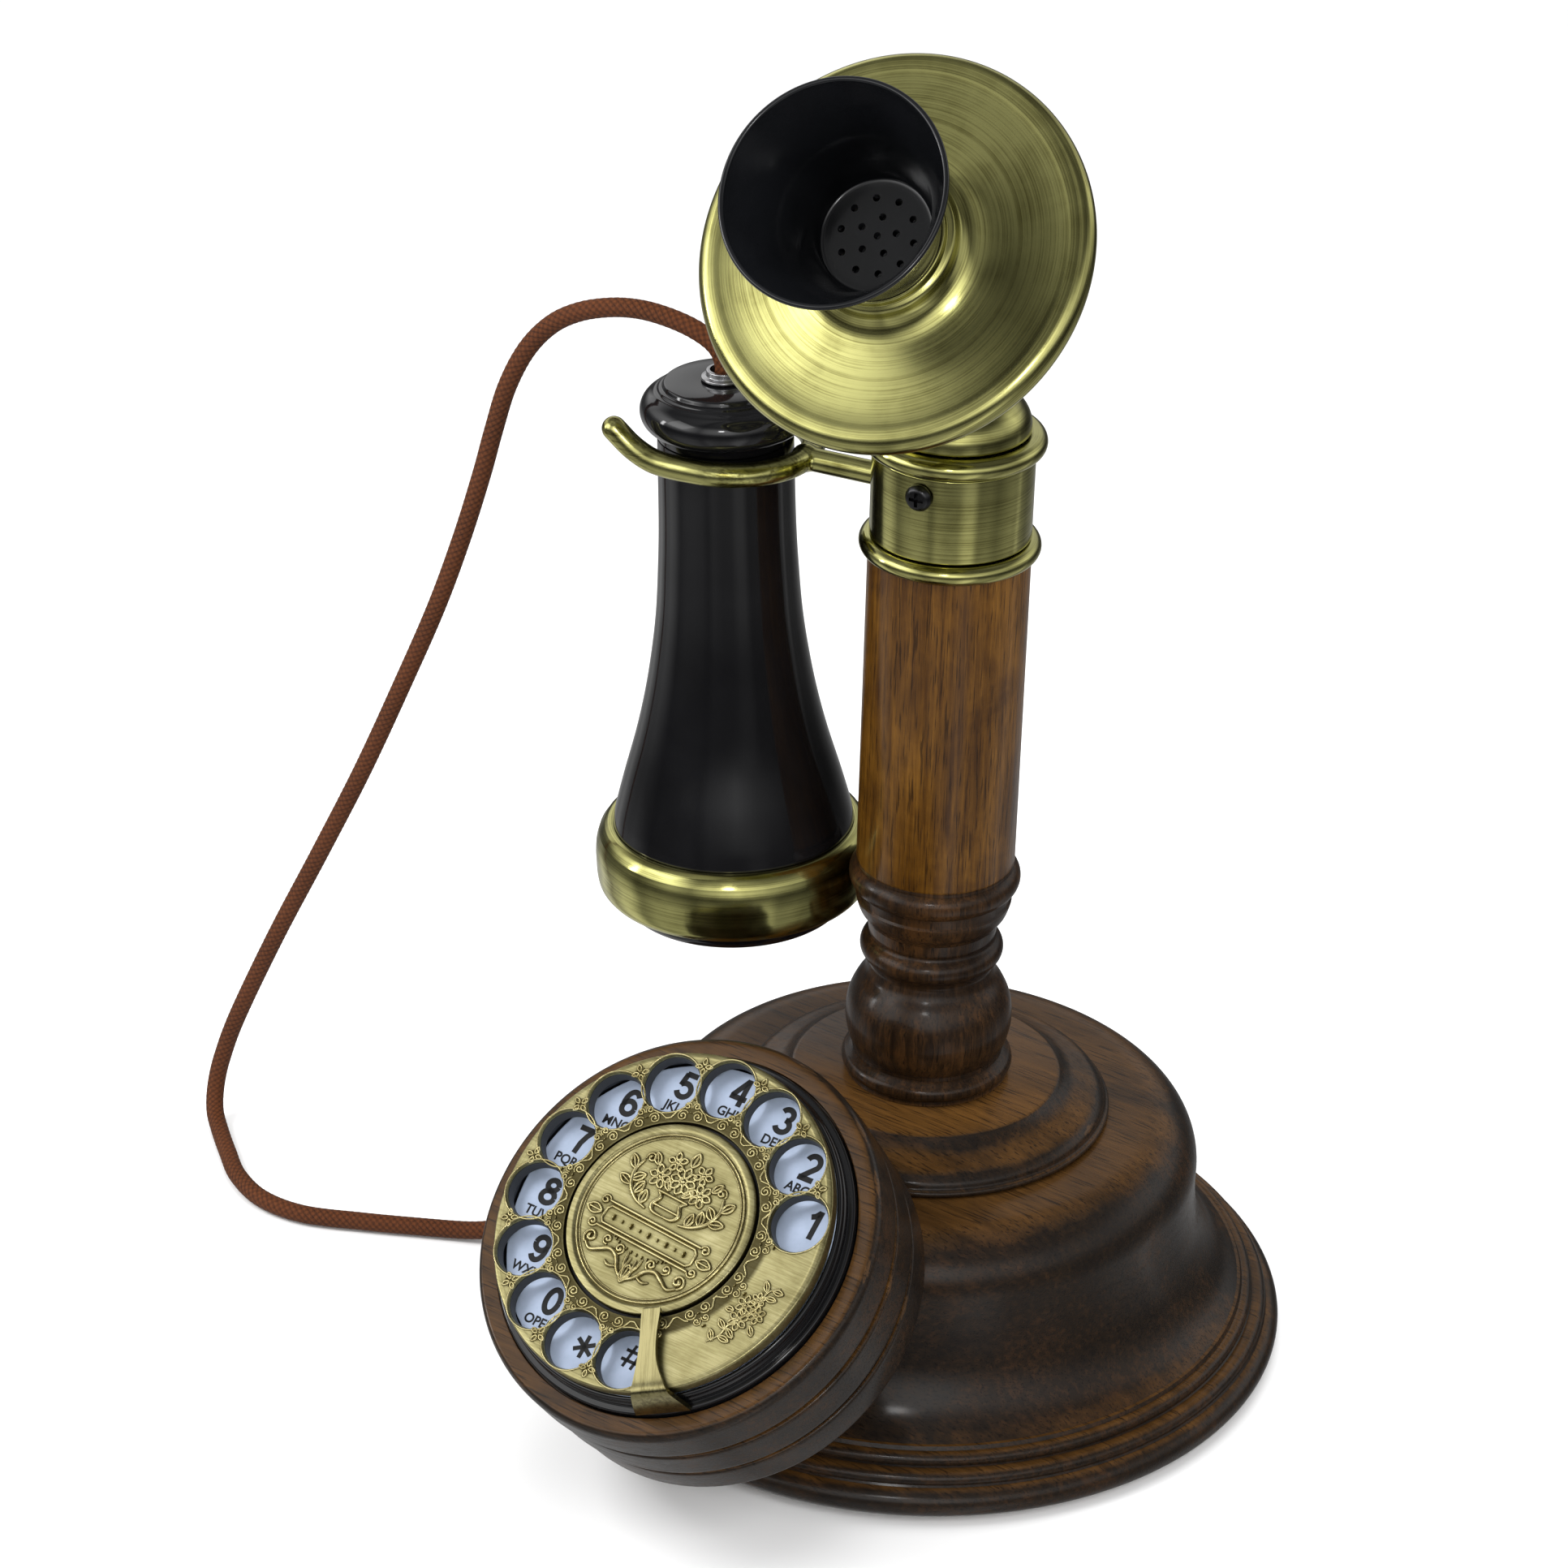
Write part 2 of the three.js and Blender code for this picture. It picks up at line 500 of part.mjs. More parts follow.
// ---------------------------------------------------------------- dial pod
function addPod() {
  const groove = (z, below, above) => [
    [below, z - 0.8], [below - 1.2, z - 0.25], [below - 1.2, z + 0.25], [above, z + 0.8],
  ];
  const body = turned([
    [3, POD_BACK], [POD_REAR_R - 1, POD_BACK], [POD_REAR_R, POD_BACK + 1],
    ...groove(-31.6, POD_REAR_R, POD_MIDDLE_R),
    ...groove(-20, POD_MIDDLE_R, POD_R),
    [POD_R, -10], [POD_R - 0.4, POD_FACE - 0.5], [POD_R - 1.1, POD_FACE],
    [40.9, POD_FACE], [40.9, -10.3], [36.5, -10.3], [36.5, -35], [3, -35],
  ], FINE);
  piece(dial, 'dial_pod', body, walnut);

  const bezel = turned([
    [37.9, -10], [40.6, -10], [40.6, -7.3], [40.3, LEDGE_Z], [39.2, LEDGE_Z], [39.2, -5.8], [38.9, -5.2],
    [38.9, -4.3], [38.5, -3.7], [37.9, -3.7],
  ], FINE);
  piece(dial, 'dial_bezel', bezel, blackGloss);

  const card = turned([[5, CARD_Z - 1], [37.6, CARD_Z - 1], [37.6, CARD_Z], [5, CARD_Z]], FINE);
  piece(dial, 'number_plate', card, paper);

  const caseTop = CARD_Z - 1 - GAP;
  piece(dial, 'dial_case', turned([
    [4.4, -28], [34, -28], [34, caseTop], [32.6, caseTop], [32.6, -26.6], [4.4, -26.6],
  ]), steel);
  piece(dial, 'pulse_switch', block(8, 16, 10, 26, 0, -21), blackMatte);

  // Finger stop: a flat arm over the wheel that bends down outside its rim and stands on the bezel.
  const armTop = 2.4;
  const armLow = 1.2;
  const footLow = LEDGE_Z + GAP;
  const side = new THREE.Shape([
    V2(22.2, armLow), V2(38.6, armLow), V2(39.65, footLow), V2(40.75, footLow), V2(40.5, footLow + 1.4),
    V2(39.9, armTop - 0.8), V2(38.9, armTop), V2(22.2, armTop),
  ]);
  const width = 12.6;
  const profile = new THREE.ExtrudeGeometry(side, { depth: width, bevelEnabled: false })
    .rotateX(Math.PI / 2).translate(0, width / 2, 0);
  const leaf = new THREE.Shape();
  leaf.moveTo(22, -1.9);
  leaf.lineTo(22, 1.9);
  leaf.quadraticCurveTo(31, 1, 35, 2.4);
  leaf.quadraticCurveTo(38.4, 3.6, 41.5, 6.1);
  leaf.lineTo(41.5, -4.4);
  leaf.quadraticCurveTo(37, -2.6, 22, -1.9);
  const trim = new THREE.ExtrudeGeometry(leaf, { depth: 16, bevelEnabled: false, curveSegments: 6 })
    .translate(0, 0, -10);
  const stop = toGeometry(toSolid(profile).intersect(toSolid(trim)));
  piece(dial, 'finger_stop', stop.rotateZ(deg(STOP_ANGLE)), dialBrass);

  const neck = rod(18, V3(0, 0, POD_BACK - GAP), V3(0, 0, -84), 40);
  const keepOut = turned([[0, -30], [82.5, -30], ...bellOutline(GAP), [0, SHELF_Z + GAP]], FINE);
  const toDial = new THREE.Matrix4().compose(V3(0, DIAL_Y, DIAL_Z),
    new THREE.Quaternion().setFromAxisAngle(V3(1, 0, 0), deg(DIAL_LEAN)), V3(1, 1, 1)).invert();
  const boltHole = rod(2.4, V3(0, 0, -30), V3(0, 0, -90));
  piece(dial, 'pod_neck', cut(neck, keepOut.applyMatrix4(toDial), boltHole), walnut);

  piece(dial, 'pod_bolt', turned([
    [0, -64], [2, -64], [2, -34.7], [5, -34.7], [5, -32.4], [4.2, -31.6], [0, -31.4],
  ], SMALL), steel);
}

function addFingerWheel() {
  const disc = turned([
    [0, -WHEEL_THICK], [37.6, -WHEEL_THICK], [WHEEL_R, -2.6], [WHEEL_R, -0.6], [37.6, 0],
    [22.1, 0], [22.1, -1.7], [0, -1.7],
  ], FINE);
  const holes = Array.from({ length: HOLE_COUNT }, (_, i) => {
    const a = deg(HOLE_START + HOLE_STEP * i);
    const [x, y] = [HOLE_CIRCLE_R * Math.cos(a), HOLE_CIRCLE_R * Math.sin(a)];
    return rod(HOLE_R, V3(x, y, -8), V3(x, y, 4), 14);
  });
  piece(dial, 'finger_wheel', cut(disc, ...holes), dialBrass);

  piece(dial, 'wheel_medallion', turned([
    [0, -1.4], [MEDALLION_R, -1.4], [MEDALLION_R, 0.2], [21, 0.6], [19.4, 0.6], [19, 0.3], [0, 0.3],
  ], 40), dialBrass);
  piece(dial, 'dial_shaft', turned([[0, -30], [4, -30], [4, -3.5], [0, -3.5]], SMALL), steel);

  // Gear on the shaft, inside the case, that drives the pulse switch.
  const teeth = 24;
  const rim = [];
  for (let i = 0; i < teeth * 2; i += 1) {
    const a = (Math.PI * i) / teeth;
    const r = i % 2 ? 17 : 19;
    rim.push(V2(r * Math.cos(a), r * Math.sin(a)));
  }
  const gear = new THREE.Shape(rim);
  const bore = new THREE.Path();
  bore.absarc(0, 0, 4.3, 0, 2 * Math.PI);
  gear.holes.push(bore);
  const wheel = new THREE.ExtrudeGeometry(gear, { depth: 3, bevelEnabled: false, curveSegments: 8 });
  piece(dial, 'dial_gear', wheel.translate(0, 0, -14), steel);
}

// ---------------------------------------------------------------- receiver cord
// Route of the cord's centre line: up out of the receiver's cap, over and down to the table,
// round in a loose bend on the table and into the bushing in the foot.
const CORD_ROUTE = [
  [-53.1, -9.7, 221.5], [-53.3, -9.7, 226.4], [-55.2, -10.1, 230], [-59.5, -11.1, 232.6],
  [-65.5, -12.4, 234.3], [-72.5, -13.9, 235], [-79.5, -15.5, 234.2], [-87, -17.1, 231.7],
  [-93.5, -18.5, 227.5], [-99.3, -19.8, 220.6], [-104, -20.8, 211], [-107.3, -21.5, 200],
  [-110.5, -22.2, 188], [-115.5, -23.3, 171.5], [-122, -24.7, 153], [-131, -26.7, 131],
  [-141.5, -29, 106.5], [-153, -31.5, 82], [-165.5, -34.2, 56], [-176.8, -36.7, 30.5],
  [-181.2, -38.2, 17.5], [-182.3, -39.8, 9.6], [-180.4, -42.6, 4.4], [-175.6, -46.3, 2.4],
  [-167, -52.8, 2.3], [-158, -59, 2.3], [-147, -62.8, 2.3], [-135, -61.8, 2.3],
  [-122, -55.6, 2.3], [-109, -48.5, 2.3], [-98.5, -42.9, 2.7], [-91.5, -39.4, 4.4],
  [-85, -36.3, 6.4], [-77.3, -32.7, 7], [-71.6, -30.3, 7],
];
const CORD_SPLIT = 0.685;         // share of the route above the table

function addCord() {
  const route = new THREE.CatmullRomCurve3(CORD_ROUTE.map((p) => V3(...p)), false, 'centripetal');
  const gap = (2 * GAP) / route.getLength();
  const run = (from, to, steps) => {
    const share = (i) => from + ((to - from) * i) / steps;
    const points = Array.from({ length: steps + 1 }, (_, i) => route.getPointAt(share(i)));
    return bentRod(points, CORD_R, steps, CORD_SIDES);
  };
  piece(phone, 'cord_hanging', run(0, CORD_SPLIT - gap, 34), braid);
  piece(phone, 'cord_floor', run(CORD_SPLIT + gap, 1, 18), braid);
}

addBase();
addColumn();
addHead();
addHook();
addTransmitter();
addReceiver();
addPod();
addFingerWheel();
addCord();

export default phone;
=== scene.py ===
"""Candlestick telephone with a rotary dial: the fine visual model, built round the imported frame.

Lengths are in millimetres until a mesh is made; Blender's own units are metres.
"""
import json
import math

import bmesh
import bpy
from mathutils import Matrix, Vector


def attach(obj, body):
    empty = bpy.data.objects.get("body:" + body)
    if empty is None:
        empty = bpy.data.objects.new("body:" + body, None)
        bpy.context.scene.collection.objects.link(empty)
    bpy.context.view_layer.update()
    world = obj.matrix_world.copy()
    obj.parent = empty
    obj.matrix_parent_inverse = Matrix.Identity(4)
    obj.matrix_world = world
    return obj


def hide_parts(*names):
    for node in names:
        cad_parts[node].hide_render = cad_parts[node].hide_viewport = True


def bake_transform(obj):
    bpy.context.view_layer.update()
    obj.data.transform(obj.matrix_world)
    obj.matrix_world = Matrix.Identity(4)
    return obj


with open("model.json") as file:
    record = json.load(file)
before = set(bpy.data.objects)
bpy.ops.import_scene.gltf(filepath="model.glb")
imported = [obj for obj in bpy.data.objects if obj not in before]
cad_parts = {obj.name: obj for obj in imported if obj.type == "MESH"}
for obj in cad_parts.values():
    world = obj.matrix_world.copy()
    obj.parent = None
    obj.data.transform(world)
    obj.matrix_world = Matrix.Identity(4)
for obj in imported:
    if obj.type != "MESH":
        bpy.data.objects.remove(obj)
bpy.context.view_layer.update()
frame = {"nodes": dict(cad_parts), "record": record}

MM = 0.001
bodies = frame["record"]["behaviour"]["bodies"]
BODY_OF = {name: body for body, nodes in bodies.items() for name in nodes}
SLOT_OF = {row["node"]: row["material_slot"] for row in frame["record"]["subparts"]}
JOINT = {joint["name"]: joint for joint in frame["record"]["behaviour"]["joints"]}

# ------------------------------------------------------------------ places of the sub-assemblies
HEAD_TURN = math.radians(10.3)
DISC_TILT = math.radians(36.6)
DIAL_LEAN = math.radians(38.4)
RECEIVER_LEAN = math.radians(2.4)


def place(x, y, z):
    return Matrix.Translation((x * MM, y * MM, z * MM))


WORLD = Matrix.Identity(4)
HEAD = Matrix.Rotation(HEAD_TURN, 4, "Z")
TRANSMITTER = HEAD @ place(0, -34.9, 273.9) @ Matrix.Rotation(math.pi / 2 - DISC_TILT, 4, "X")
RECEIVER = HEAD @ place(-49.3, 0, 110) @ Matrix.Rotation(-RECEIVER_LEAN, 4, "Y")
DIAL = Matrix.Translation(JOINT["wheel_spin"]["pos_m"]) @ Matrix.Rotation(DIAL_LEAN, 4, "X")
TILT_PIVOT = Vector(JOINT["transmitter_tilt"]["pos_m"]) / MM


# ------------------------------------------------------------------ node materials
STYLE = {}                        # every material by its name


def new_material(name):
    material = bpy.data.materials.new(name)
    material.use_nodes = True
    STYLE[name] = material
    return material.node_tree


def feed(tree, made, inputs):
    """Links or sets a node's inputs; a colour of three numbers gets its alpha."""
    for name, value in inputs.items():
        socket = made.inputs[name]
        if isinstance(value, bpy.types.NodeSocket):
            tree.links.new(value, socket)
        elif socket.type == "RGBA":
            socket.default_value = (*value, 1)
        else:
            socket.default_value = value


def node(tree, kind, inputs=None, **settings):
    made = tree.nodes.new(kind)
    for name, value in settings.items():
        setattr(made, name, value)
    feed(tree, made, inputs or {})
    return made


def tree_of(*values):
    """The node tree of the first value that is a socket."""
    return next(value.id_data for value in values if isinstance(value, bpy.types.NodeSocket))


def place_of(tree, scale=(1, 1, 1), turn=(0, 0, 0)):
    """The piece's own coordinates, in millimetres times scale."""
    own = node(tree, "ShaderNodeTexCoord").outputs["Object"]
    size = [s / MM for s in scale]
    return node(tree, "ShaderNodeMapping", {"Vector": own, "Scale": size, "Rotation": turn}).outputs[0]


def noise(vector, scale, detail, roughness=0.5, distortion=0.0):
    inputs = {"Vector": vector, "Scale": scale, "Detail": detail, "Roughness": roughness,
              "Distortion": distortion}
    return node(tree_of(vector), "ShaderNodeTexNoise", inputs).outputs["Fac"]


def ramp(value, *stops):
    """A colour ramp from (position, colour) stops; a number stands for a grey."""
    made = node(tree_of(value), "ShaderNodeValToRGB", {"Fac": value})
    elements = made.color_ramp.elements
    while len(elements) < len(stops):
        elements.new(0.5)
    for element, (position, colour) in zip(elements, stops):
        element.position = position
        grey = isinstance(colour, (int, float))
        element.color = (colour, colour, colour, 1) if grey else (*colour, 1)
    return made.outputs["Color"]


def mix(factor, a, b, blend="MIX"):
    inputs = {0: factor, 6: a, 7: b}
    return node(tree_of(factor, a, b), "ShaderNodeMix", inputs, data_type="RGBA", blend_type=blend).outputs[2]


def maths(operation, a, b=0.0, clamp=False):
    tree = tree_of(a, b)
    return node(tree, "ShaderNodeMath", {0: a, 1: b}, operation=operation, use_clamp=clamp).outputs[0]


def plus(a, b):
    return maths("ADD", a, b)


def times(a, b):
    return maths("MULTIPLY", a, b)


def tinted(colour, factor):
    return tuple(factor * c for c in colour)


def painted(tree, colour, roughness, height, depth, strength, **extra):
    """Feeds a material's shader. The relief of height is depth millimetres deep; extra names the shader's
    other inputs, with underscores for spaces."""
    relief = node(tree, "ShaderNodeBump", {"Height": height, "Distance": depth * MM, "Strength": strength})
    inputs = {"Base Color": colour, "Roughness": roughness, "Normal": relief.outputs[0]}
    inputs.update({name.replace("_", " "): value for name, value in extra.items()})
    feed(tree, tree.nodes["Principled BSDF"], inputs)


def ring_place(tree, fine=1.0):
    """Coordinates that only change along a turned piece's outline, as a lathe's marks do, and the radius."""
    own = node(tree, "ShaderNodeTexCoord").outputs["Object"]
    x, y, z = node(tree, "ShaderNodeSeparateXYZ", {0: own}).outputs
    radius = times(maths("SQRT", plus(times(x, x), times(y, y))), fine / MM)
    return node(tree, "ShaderNodeCombineXYZ", {0: radius, 1: times(z, fine / MM), 2: 0.0}).outputs[0], radius


def wood(name, dark, mid, light, wear_and_lit_tone, along, flats=1.0, varnish=0.32, shine=0.1):
    """Stained and varnished wood. along is the grain's direction, an axis number; flats says how much the
    faces square to the piece's own Z axis are painted lighter: painted light, as on flats lit from above."""
    tree = new_material(name)

    def stretched(across, lengthwise):
        scale = [across] * 3
        scale[along] = lengthwise
        return place_of(tree, scale)

    grain = noise(stretched(0.75, 0.035), 1.0, 6, 0.65, 0.5)
    bands = noise(stretched(0.12, 0.014), 1.0, 3, 0.5, 1.2)
    pores = ramp(noise(stretched(2.6, 0.12), 1.0, 2), (0.56, 0.0), (0.66, 1.0))
    blotch = noise(place_of(tree), 0.045, 5, 0.62, 0.4)

    geometry = node(tree, "ShaderNodeNewGeometry")
    facing = node(tree, "ShaderNodeVectorTransform", {0: geometry.outputs["Normal"]}, vector_type="NORMAL",
                  convert_from="WORLD", convert_to="OBJECT").outputs[0]
    up = maths("ABSOLUTE", node(tree, "ShaderNodeSeparateXYZ", {0: facing}).outputs[2])
    # Painted light: faces square to the piece's Z axis are drawn in the pale tone, as flats lit from above.
    flat = ramp(maths("SUBTRACT", plus(up, times(blotch, 0.5)), 0.25), (0.80, 0.0), (1.0, flats))

    pore_and_shade_dark = tinted(dark, 0.3)
    stained = ramp(plus(times(blotch, 0.5), times(grain, 0.5)), (0.40, dark), (0.50, mid), (0.61, light))
    fibre = plus(times(grain, 0.55), times(bands, 0.45))
    lit_flat_colour = ramp(fibre, (0.34, tinted(wear_and_lit_tone, 0.45)), (0.50, tinted(wear_and_lit_tone, 0.8)), (0.66, tinted(wear_and_lit_tone, 1.25)))
    colour = mix(flat, stained, lit_flat_colour)
    # Painted shade, with dirt: hollows (low pointiness) are darkened towards the near-black pore colour;
    # sharp edges show wear in the pale tone.
    edges = ramp(geometry.outputs["Pointiness"], (0.44, 0.0), (0.48, 0.5), (0.52, 0.5), (0.56, 1.0))
    worn = mix(ramp(edges, (0.5, 0.0), (1.0, 0.3)), colour, wear_and_lit_tone)
    colour = mix(edges, mix(0.65, colour, pore_and_shade_dark), worn)
    colour = mix(times(pores, 0.7), colour, pore_and_shade_dark)
    relief = maths("SUBTRACT", times(grain, 0.5), pores)
    painted(tree, colour, ramp(grain, (0.3, 0.30), (0.7, 0.48)), relief, 0.06, 0.6,
            Coat_Weight=varnish, Coat_Roughness=0.17, Specular_IOR_Level=shine)


def brass(name, colour, patina, roughness, fine, angle=None, dirt=0.35):
    """Antique brass, brushed in rings by a lathe, or in straight lines where an angle is given."""
    tree = new_material(name)
    extra = {}
    if angle is None:
        vector, _ = ring_place(tree, fine)
        tangent = node(tree, "ShaderNodeTangent", direction_type="RADIAL", axis="Z").outputs[0]
        extra = {"Anisotropic": 0.6, "Anisotropic_Rotation": 0.25, "Tangent": tangent}
    else:
        vector = place_of(tree, (fine * 0.03, fine, fine), (0, 0, angle))
    streaks = noise(vector, 1.0, 5, 0.72)
    fine_streaks = noise(vector, 3.1, 3, 0.6)
    clouds = noise(place_of(tree), 0.11, 3, 0.55, 0.2)
    amount = plus(times(streaks, 0.7), times(clouds, 0.3))
    tone = ramp(amount, (0.5 - dirt * 0.5, patina), (0.5 + dirt * 0.12, colour))
    rough = plus(times(fine_streaks, 0.16), roughness - 0.08)
    painted(tree, tone, rough, plus(streaks, fine_streaks), 0.008, 0.3, Metallic=1.0, **extra)


def dial_face(name, dark_low, dark_high):
    """Brushed brass whose patina gathers beside raised ornaments, most of all between two radii."""
    tree = new_material(name)
    _, radius = ring_place(tree)
    lines = noise(place_of(tree, (0.10, 2.4, 2.4), (0, 0, 0.9)), 1.0, 5, 0.7)
    clouds = noise(place_of(tree), 0.13, 4, 0.6, 0.4)
    into = maths("SUBTRACT", radius, dark_low, clamp=True)
    out = maths("SUBTRACT", dark_high, radius, clamp=True)
    corners = node(tree, "ShaderNodeAmbientOcclusion", {"Distance": 1.1 * MM}, samples=8).outputs["AO"]
    patina = maths("MAXIMUM", ramp(corners, (0.55, 1.0), (0.96, 0.0)), times(times(into, out), 0.8))
    tone = plus(times(lines, 0.62), times(clouds, 0.38))
    bright = ramp(tone, (0.34, (0.22, 0.19, 0.08)), (0.50, (0.38, 0.34, 0.16)), (0.64, (0.56, 0.51, 0.27)))
    rough = plus(plus(times(lines, 0.2), 0.24), times(patina, 0.25))
    painted(tree, mix(patina, bright, (0.05, 0.036, 0.011)), rough, lines, 0.02, 0.5, Metallic=1.0)


def plastic(name, colour, roughness, shine=0.5):
    tree = new_material(name)
    specks = noise(place_of(tree), 1.4, 4, 0.6)
    smears = noise(place_of(tree), 0.05, 3, 0.5, 0.6)
    shade = ramp(smears, (0.3, tinted(colour, 0.75)), (0.7, tinted(colour, 1.25)))
    rough = plus(times(smears, 0.10), roughness - 0.05)
    painted(tree, shade, rough, plus(specks, smears), 0.01, 0.3, Specular_IOR_Level=shine)


def metal(name, colour, roughness, grain=1.2):
    tree = new_material(name)
    scratches = noise(place_of(tree, (grain, grain * 0.15, grain)), 1.0, 5, 0.65)
    shade = ramp(scratches, (0.25, tinted(colour, 0.7)), (0.7, colour))
    painted(tree, shade, plus(times(scratches, 0.2), roughness - 0.1), scratches, 0.01, 0.5, Metallic=1.0)


def felt():
    tree = new_material("felt")
    fibres = noise(place_of(tree), 1.6, 6, 0.7, 0.5)
    shade = ramp(fibres, (0.3, (0.006, 0.012, 0.008)), (0.7, (0.02, 0.038, 0.024)))
    painted(tree, shade, 0.9, fibres, 0.15, 0.8, Sheen_Weight=0.4)


def card():
    tree = new_material("dial_card")
    fibres = noise(place_of(tree), 0.35, 4, 0.6)
    shade = ramp(fibres, (0.3, (0.31, 0.37, 0.48)), (0.7, (0.35, 0.41, 0.53)))
    painted(tree, shade, 0.5, fibres, 0.02, 0.4, Specular_IOR_Level=0.2)


def braid():
    """The cord's cover: painted shade between the strands, the colour darkening with each strand's depth."""
    tree = new_material("cord_braid")
    weave = node(tree, "ShaderNodeAttribute", attribute_name="weave").outputs["Fac"]
    fibres = noise(place_of(tree), 2.5, 4, 0.7)
    # Painted shade: the colour follows the strand's height, darkest down between the strands.
    tone = plus(times(weave, 0.8), times(fibres, 0.4))
    shade = ramp(tone, (0.30, (0.020, 0.006, 0.002)), (0.75, (0.115, 0.034, 0.009)),
                 (1.05, (0.22, 0.080, 0.025)))
    painted(tree, shade, 0.7, fibres, 0.04, 0.5, Specular_IOR_Level=0.25)


# Woods are given as dark stained tone, middle tone, light tone, and a pale tone for worn edges and for flats
# painted lighter as lit, then the grain's axis.
WALNUT = (0.010, 0.0072, 0.0055), (0.017, 0.0105, 0.0062), (0.038, 0.018, 0.0075), (0.095, 0.043, 0.0105)
COLUMN_WOOD = (0.030, 0.011, 0.002), (0.076, 0.031, 0.003), (0.140, 0.060, 0.006), (0.10, 0.042, 0.006)
TURNED_WOOD = (0.011, 0.006, 0.0035), (0.024, 0.012, 0.005), (0.060, 0.026, 0.008), (0.085, 0.037, 0.011)
HEAD_BRASS = (0.48, 0.465, 0.175), (0.15, 0.135, 0.035)
wood("walnut", *WALNUT, 0)
wood("bare_walnut", *WALNUT, 0, 0.25, varnish=0.0, shine=0.0)
wood("column_wood", *COLUMN_WOOD, 2, 0.0)
wood("turned_wood", *TURNED_WOOD, 2, 0.0)
brass("spun_brass", *HEAD_BRASS, 0.17, 2.4)
brass("plain_brass", *HEAD_BRASS, 0.22, 0.8, 0.4, dirt=0.2)
brass("dial_brass", (0.50, 0.43, 0.19), (0.22, 0.18, 0.07), 0.28, 1.6, 0.7, dirt=0.3)
brass("stop_brass", (0.37, 0.33, 0.16), (0.23, 0.20, 0.09), 0.2, 0.8, 0.7, dirt=0.15)
brass("relief_brass", (0.66, 0.58, 0.29), (0.36, 0.30, 0.13), 0.28, 1.0, 0.2, dirt=0.2)
dial_face("wheel_brass", 21.5, 26.5)
dial_face("medal_brass", -1.0, -0.5)
plastic("black_gloss", (0.0035, 0.0035, 0.004), 0.08)
plastic("black_horn", (0.0035, 0.0038, 0.0045), 0.13)
plastic("black_matte", (0.015, 0.015, 0.015), 0.5)
# Dark fill for the pod's grooves: painted shade with dirt.
plastic("groove_shade_and_dirt", (0.004, 0.003, 0.0025), 0.9, 0.0)
plastic("ink", (0.004, 0.004, 0.0045), 0.5)
plastic("board", (0.01, 0.11, 0.04), 0.4)
metal("steel", (0.55, 0.55, 0.56), 0.3)
metal("black_screw", (0.05, 0.05, 0.052), 0.3)
metal("iron", (0.10, 0.10, 0.105), 0.6, 0.5)
felt()
card()
braid()


# ------------------------------------------------------------------ outlines
def oval(x, y, across, up, start, end, steps=20):
    """Points on an ellipse; angles in degrees from the direction of +X."""
    turns = [math.radians(start + (end - start) * i / steps) for i in range(steps + 1)]
    return [(x + across * math.cos(a), y + up * math.sin(a)) for a in turns]


def arc(x, y, radius, start, end, steps=10):
    return oval(x, y, radius, radius, start, end, steps)


def spots_round(radius, count, start=0):
    """Evenly spaced points on a circle; start in degrees."""
    return arc(0, 0, radius, start, start + 360, count)[:-1]


def curve(points, steps=8):
    """A smooth curve through the points (Catmull-Rom)."""
    vectors = [Vector(p) for p in points]
    ends = [2 * vectors[0] - vectors[1], *vectors, 2 * vectors[-1] - vectors[-2]]
    out = []
    for a, b, c, d in zip(ends, ends[1:], ends[2:], ends[3:]):
        for i in range(steps):
            t = i / steps
            out.append(0.5 * ((2 * b) + (c - a) * t + (2 * a - 5 * b + 4 * c - d) * t * t
                              + (3 * b - a - 3 * c + d) * t ** 3))
    return [tuple(p) for p in [*out, vectors[-1]]]


def rounded(points, steps=5):
    """Corner points given as (r, z, fillet) become small arcs; the others stay."""
    out = []
    count = len(points)
    for i, point in enumerate(points):
        here = Vector(point[:2])
        fillet = point[2] if len(point) > 2 else 0
        if not fillet:
            out.append(tuple(here))
            continue
        before = Vector(points[i - 1][:2]) - here
        after = Vector(points[(i + 1) % count][:2]) - here
        reach = min(fillet, before.length * 0.49, after.length * 0.49)
        start = here + before.normalized() * reach
        end = here + after.normalized() * reach
        for k in range(steps + 1):
            t = k / steps
            out.append(tuple(start * (1 - t) ** 2 + here * (2 * t * (1 - t)) + end * t * t))
    return out


def ball(radius, steps=14):
    turns = [math.pi * (i / steps - 0.5) for i in range(steps + 1)]
    return [(radius * math.cos(a) if 0 < i < steps else 0, radius * math.sin(a)) for i, a in enumerate(turns)]


# ------------------------------------------------------------------ meshes and pieces
def make_object(name, data, matrix=WORLD):
    made = bpy.data.objects.new(name, data)
    bpy.context.scene.collection.objects.link(made)
    made.matrix_world = matrix
    return made


def mesh_of(bm, name):
    """The finished mesh of a bmesh, which is freed."""
    mesh = bpy.data.meshes.new(name)
    bm.to_mesh(mesh)
    bm.free()
    return mesh


def smooth(mesh, angle=32):
    mesh.shade_smooth()
    mesh.set_sharp_from_angle(angle=math.radians(angle))


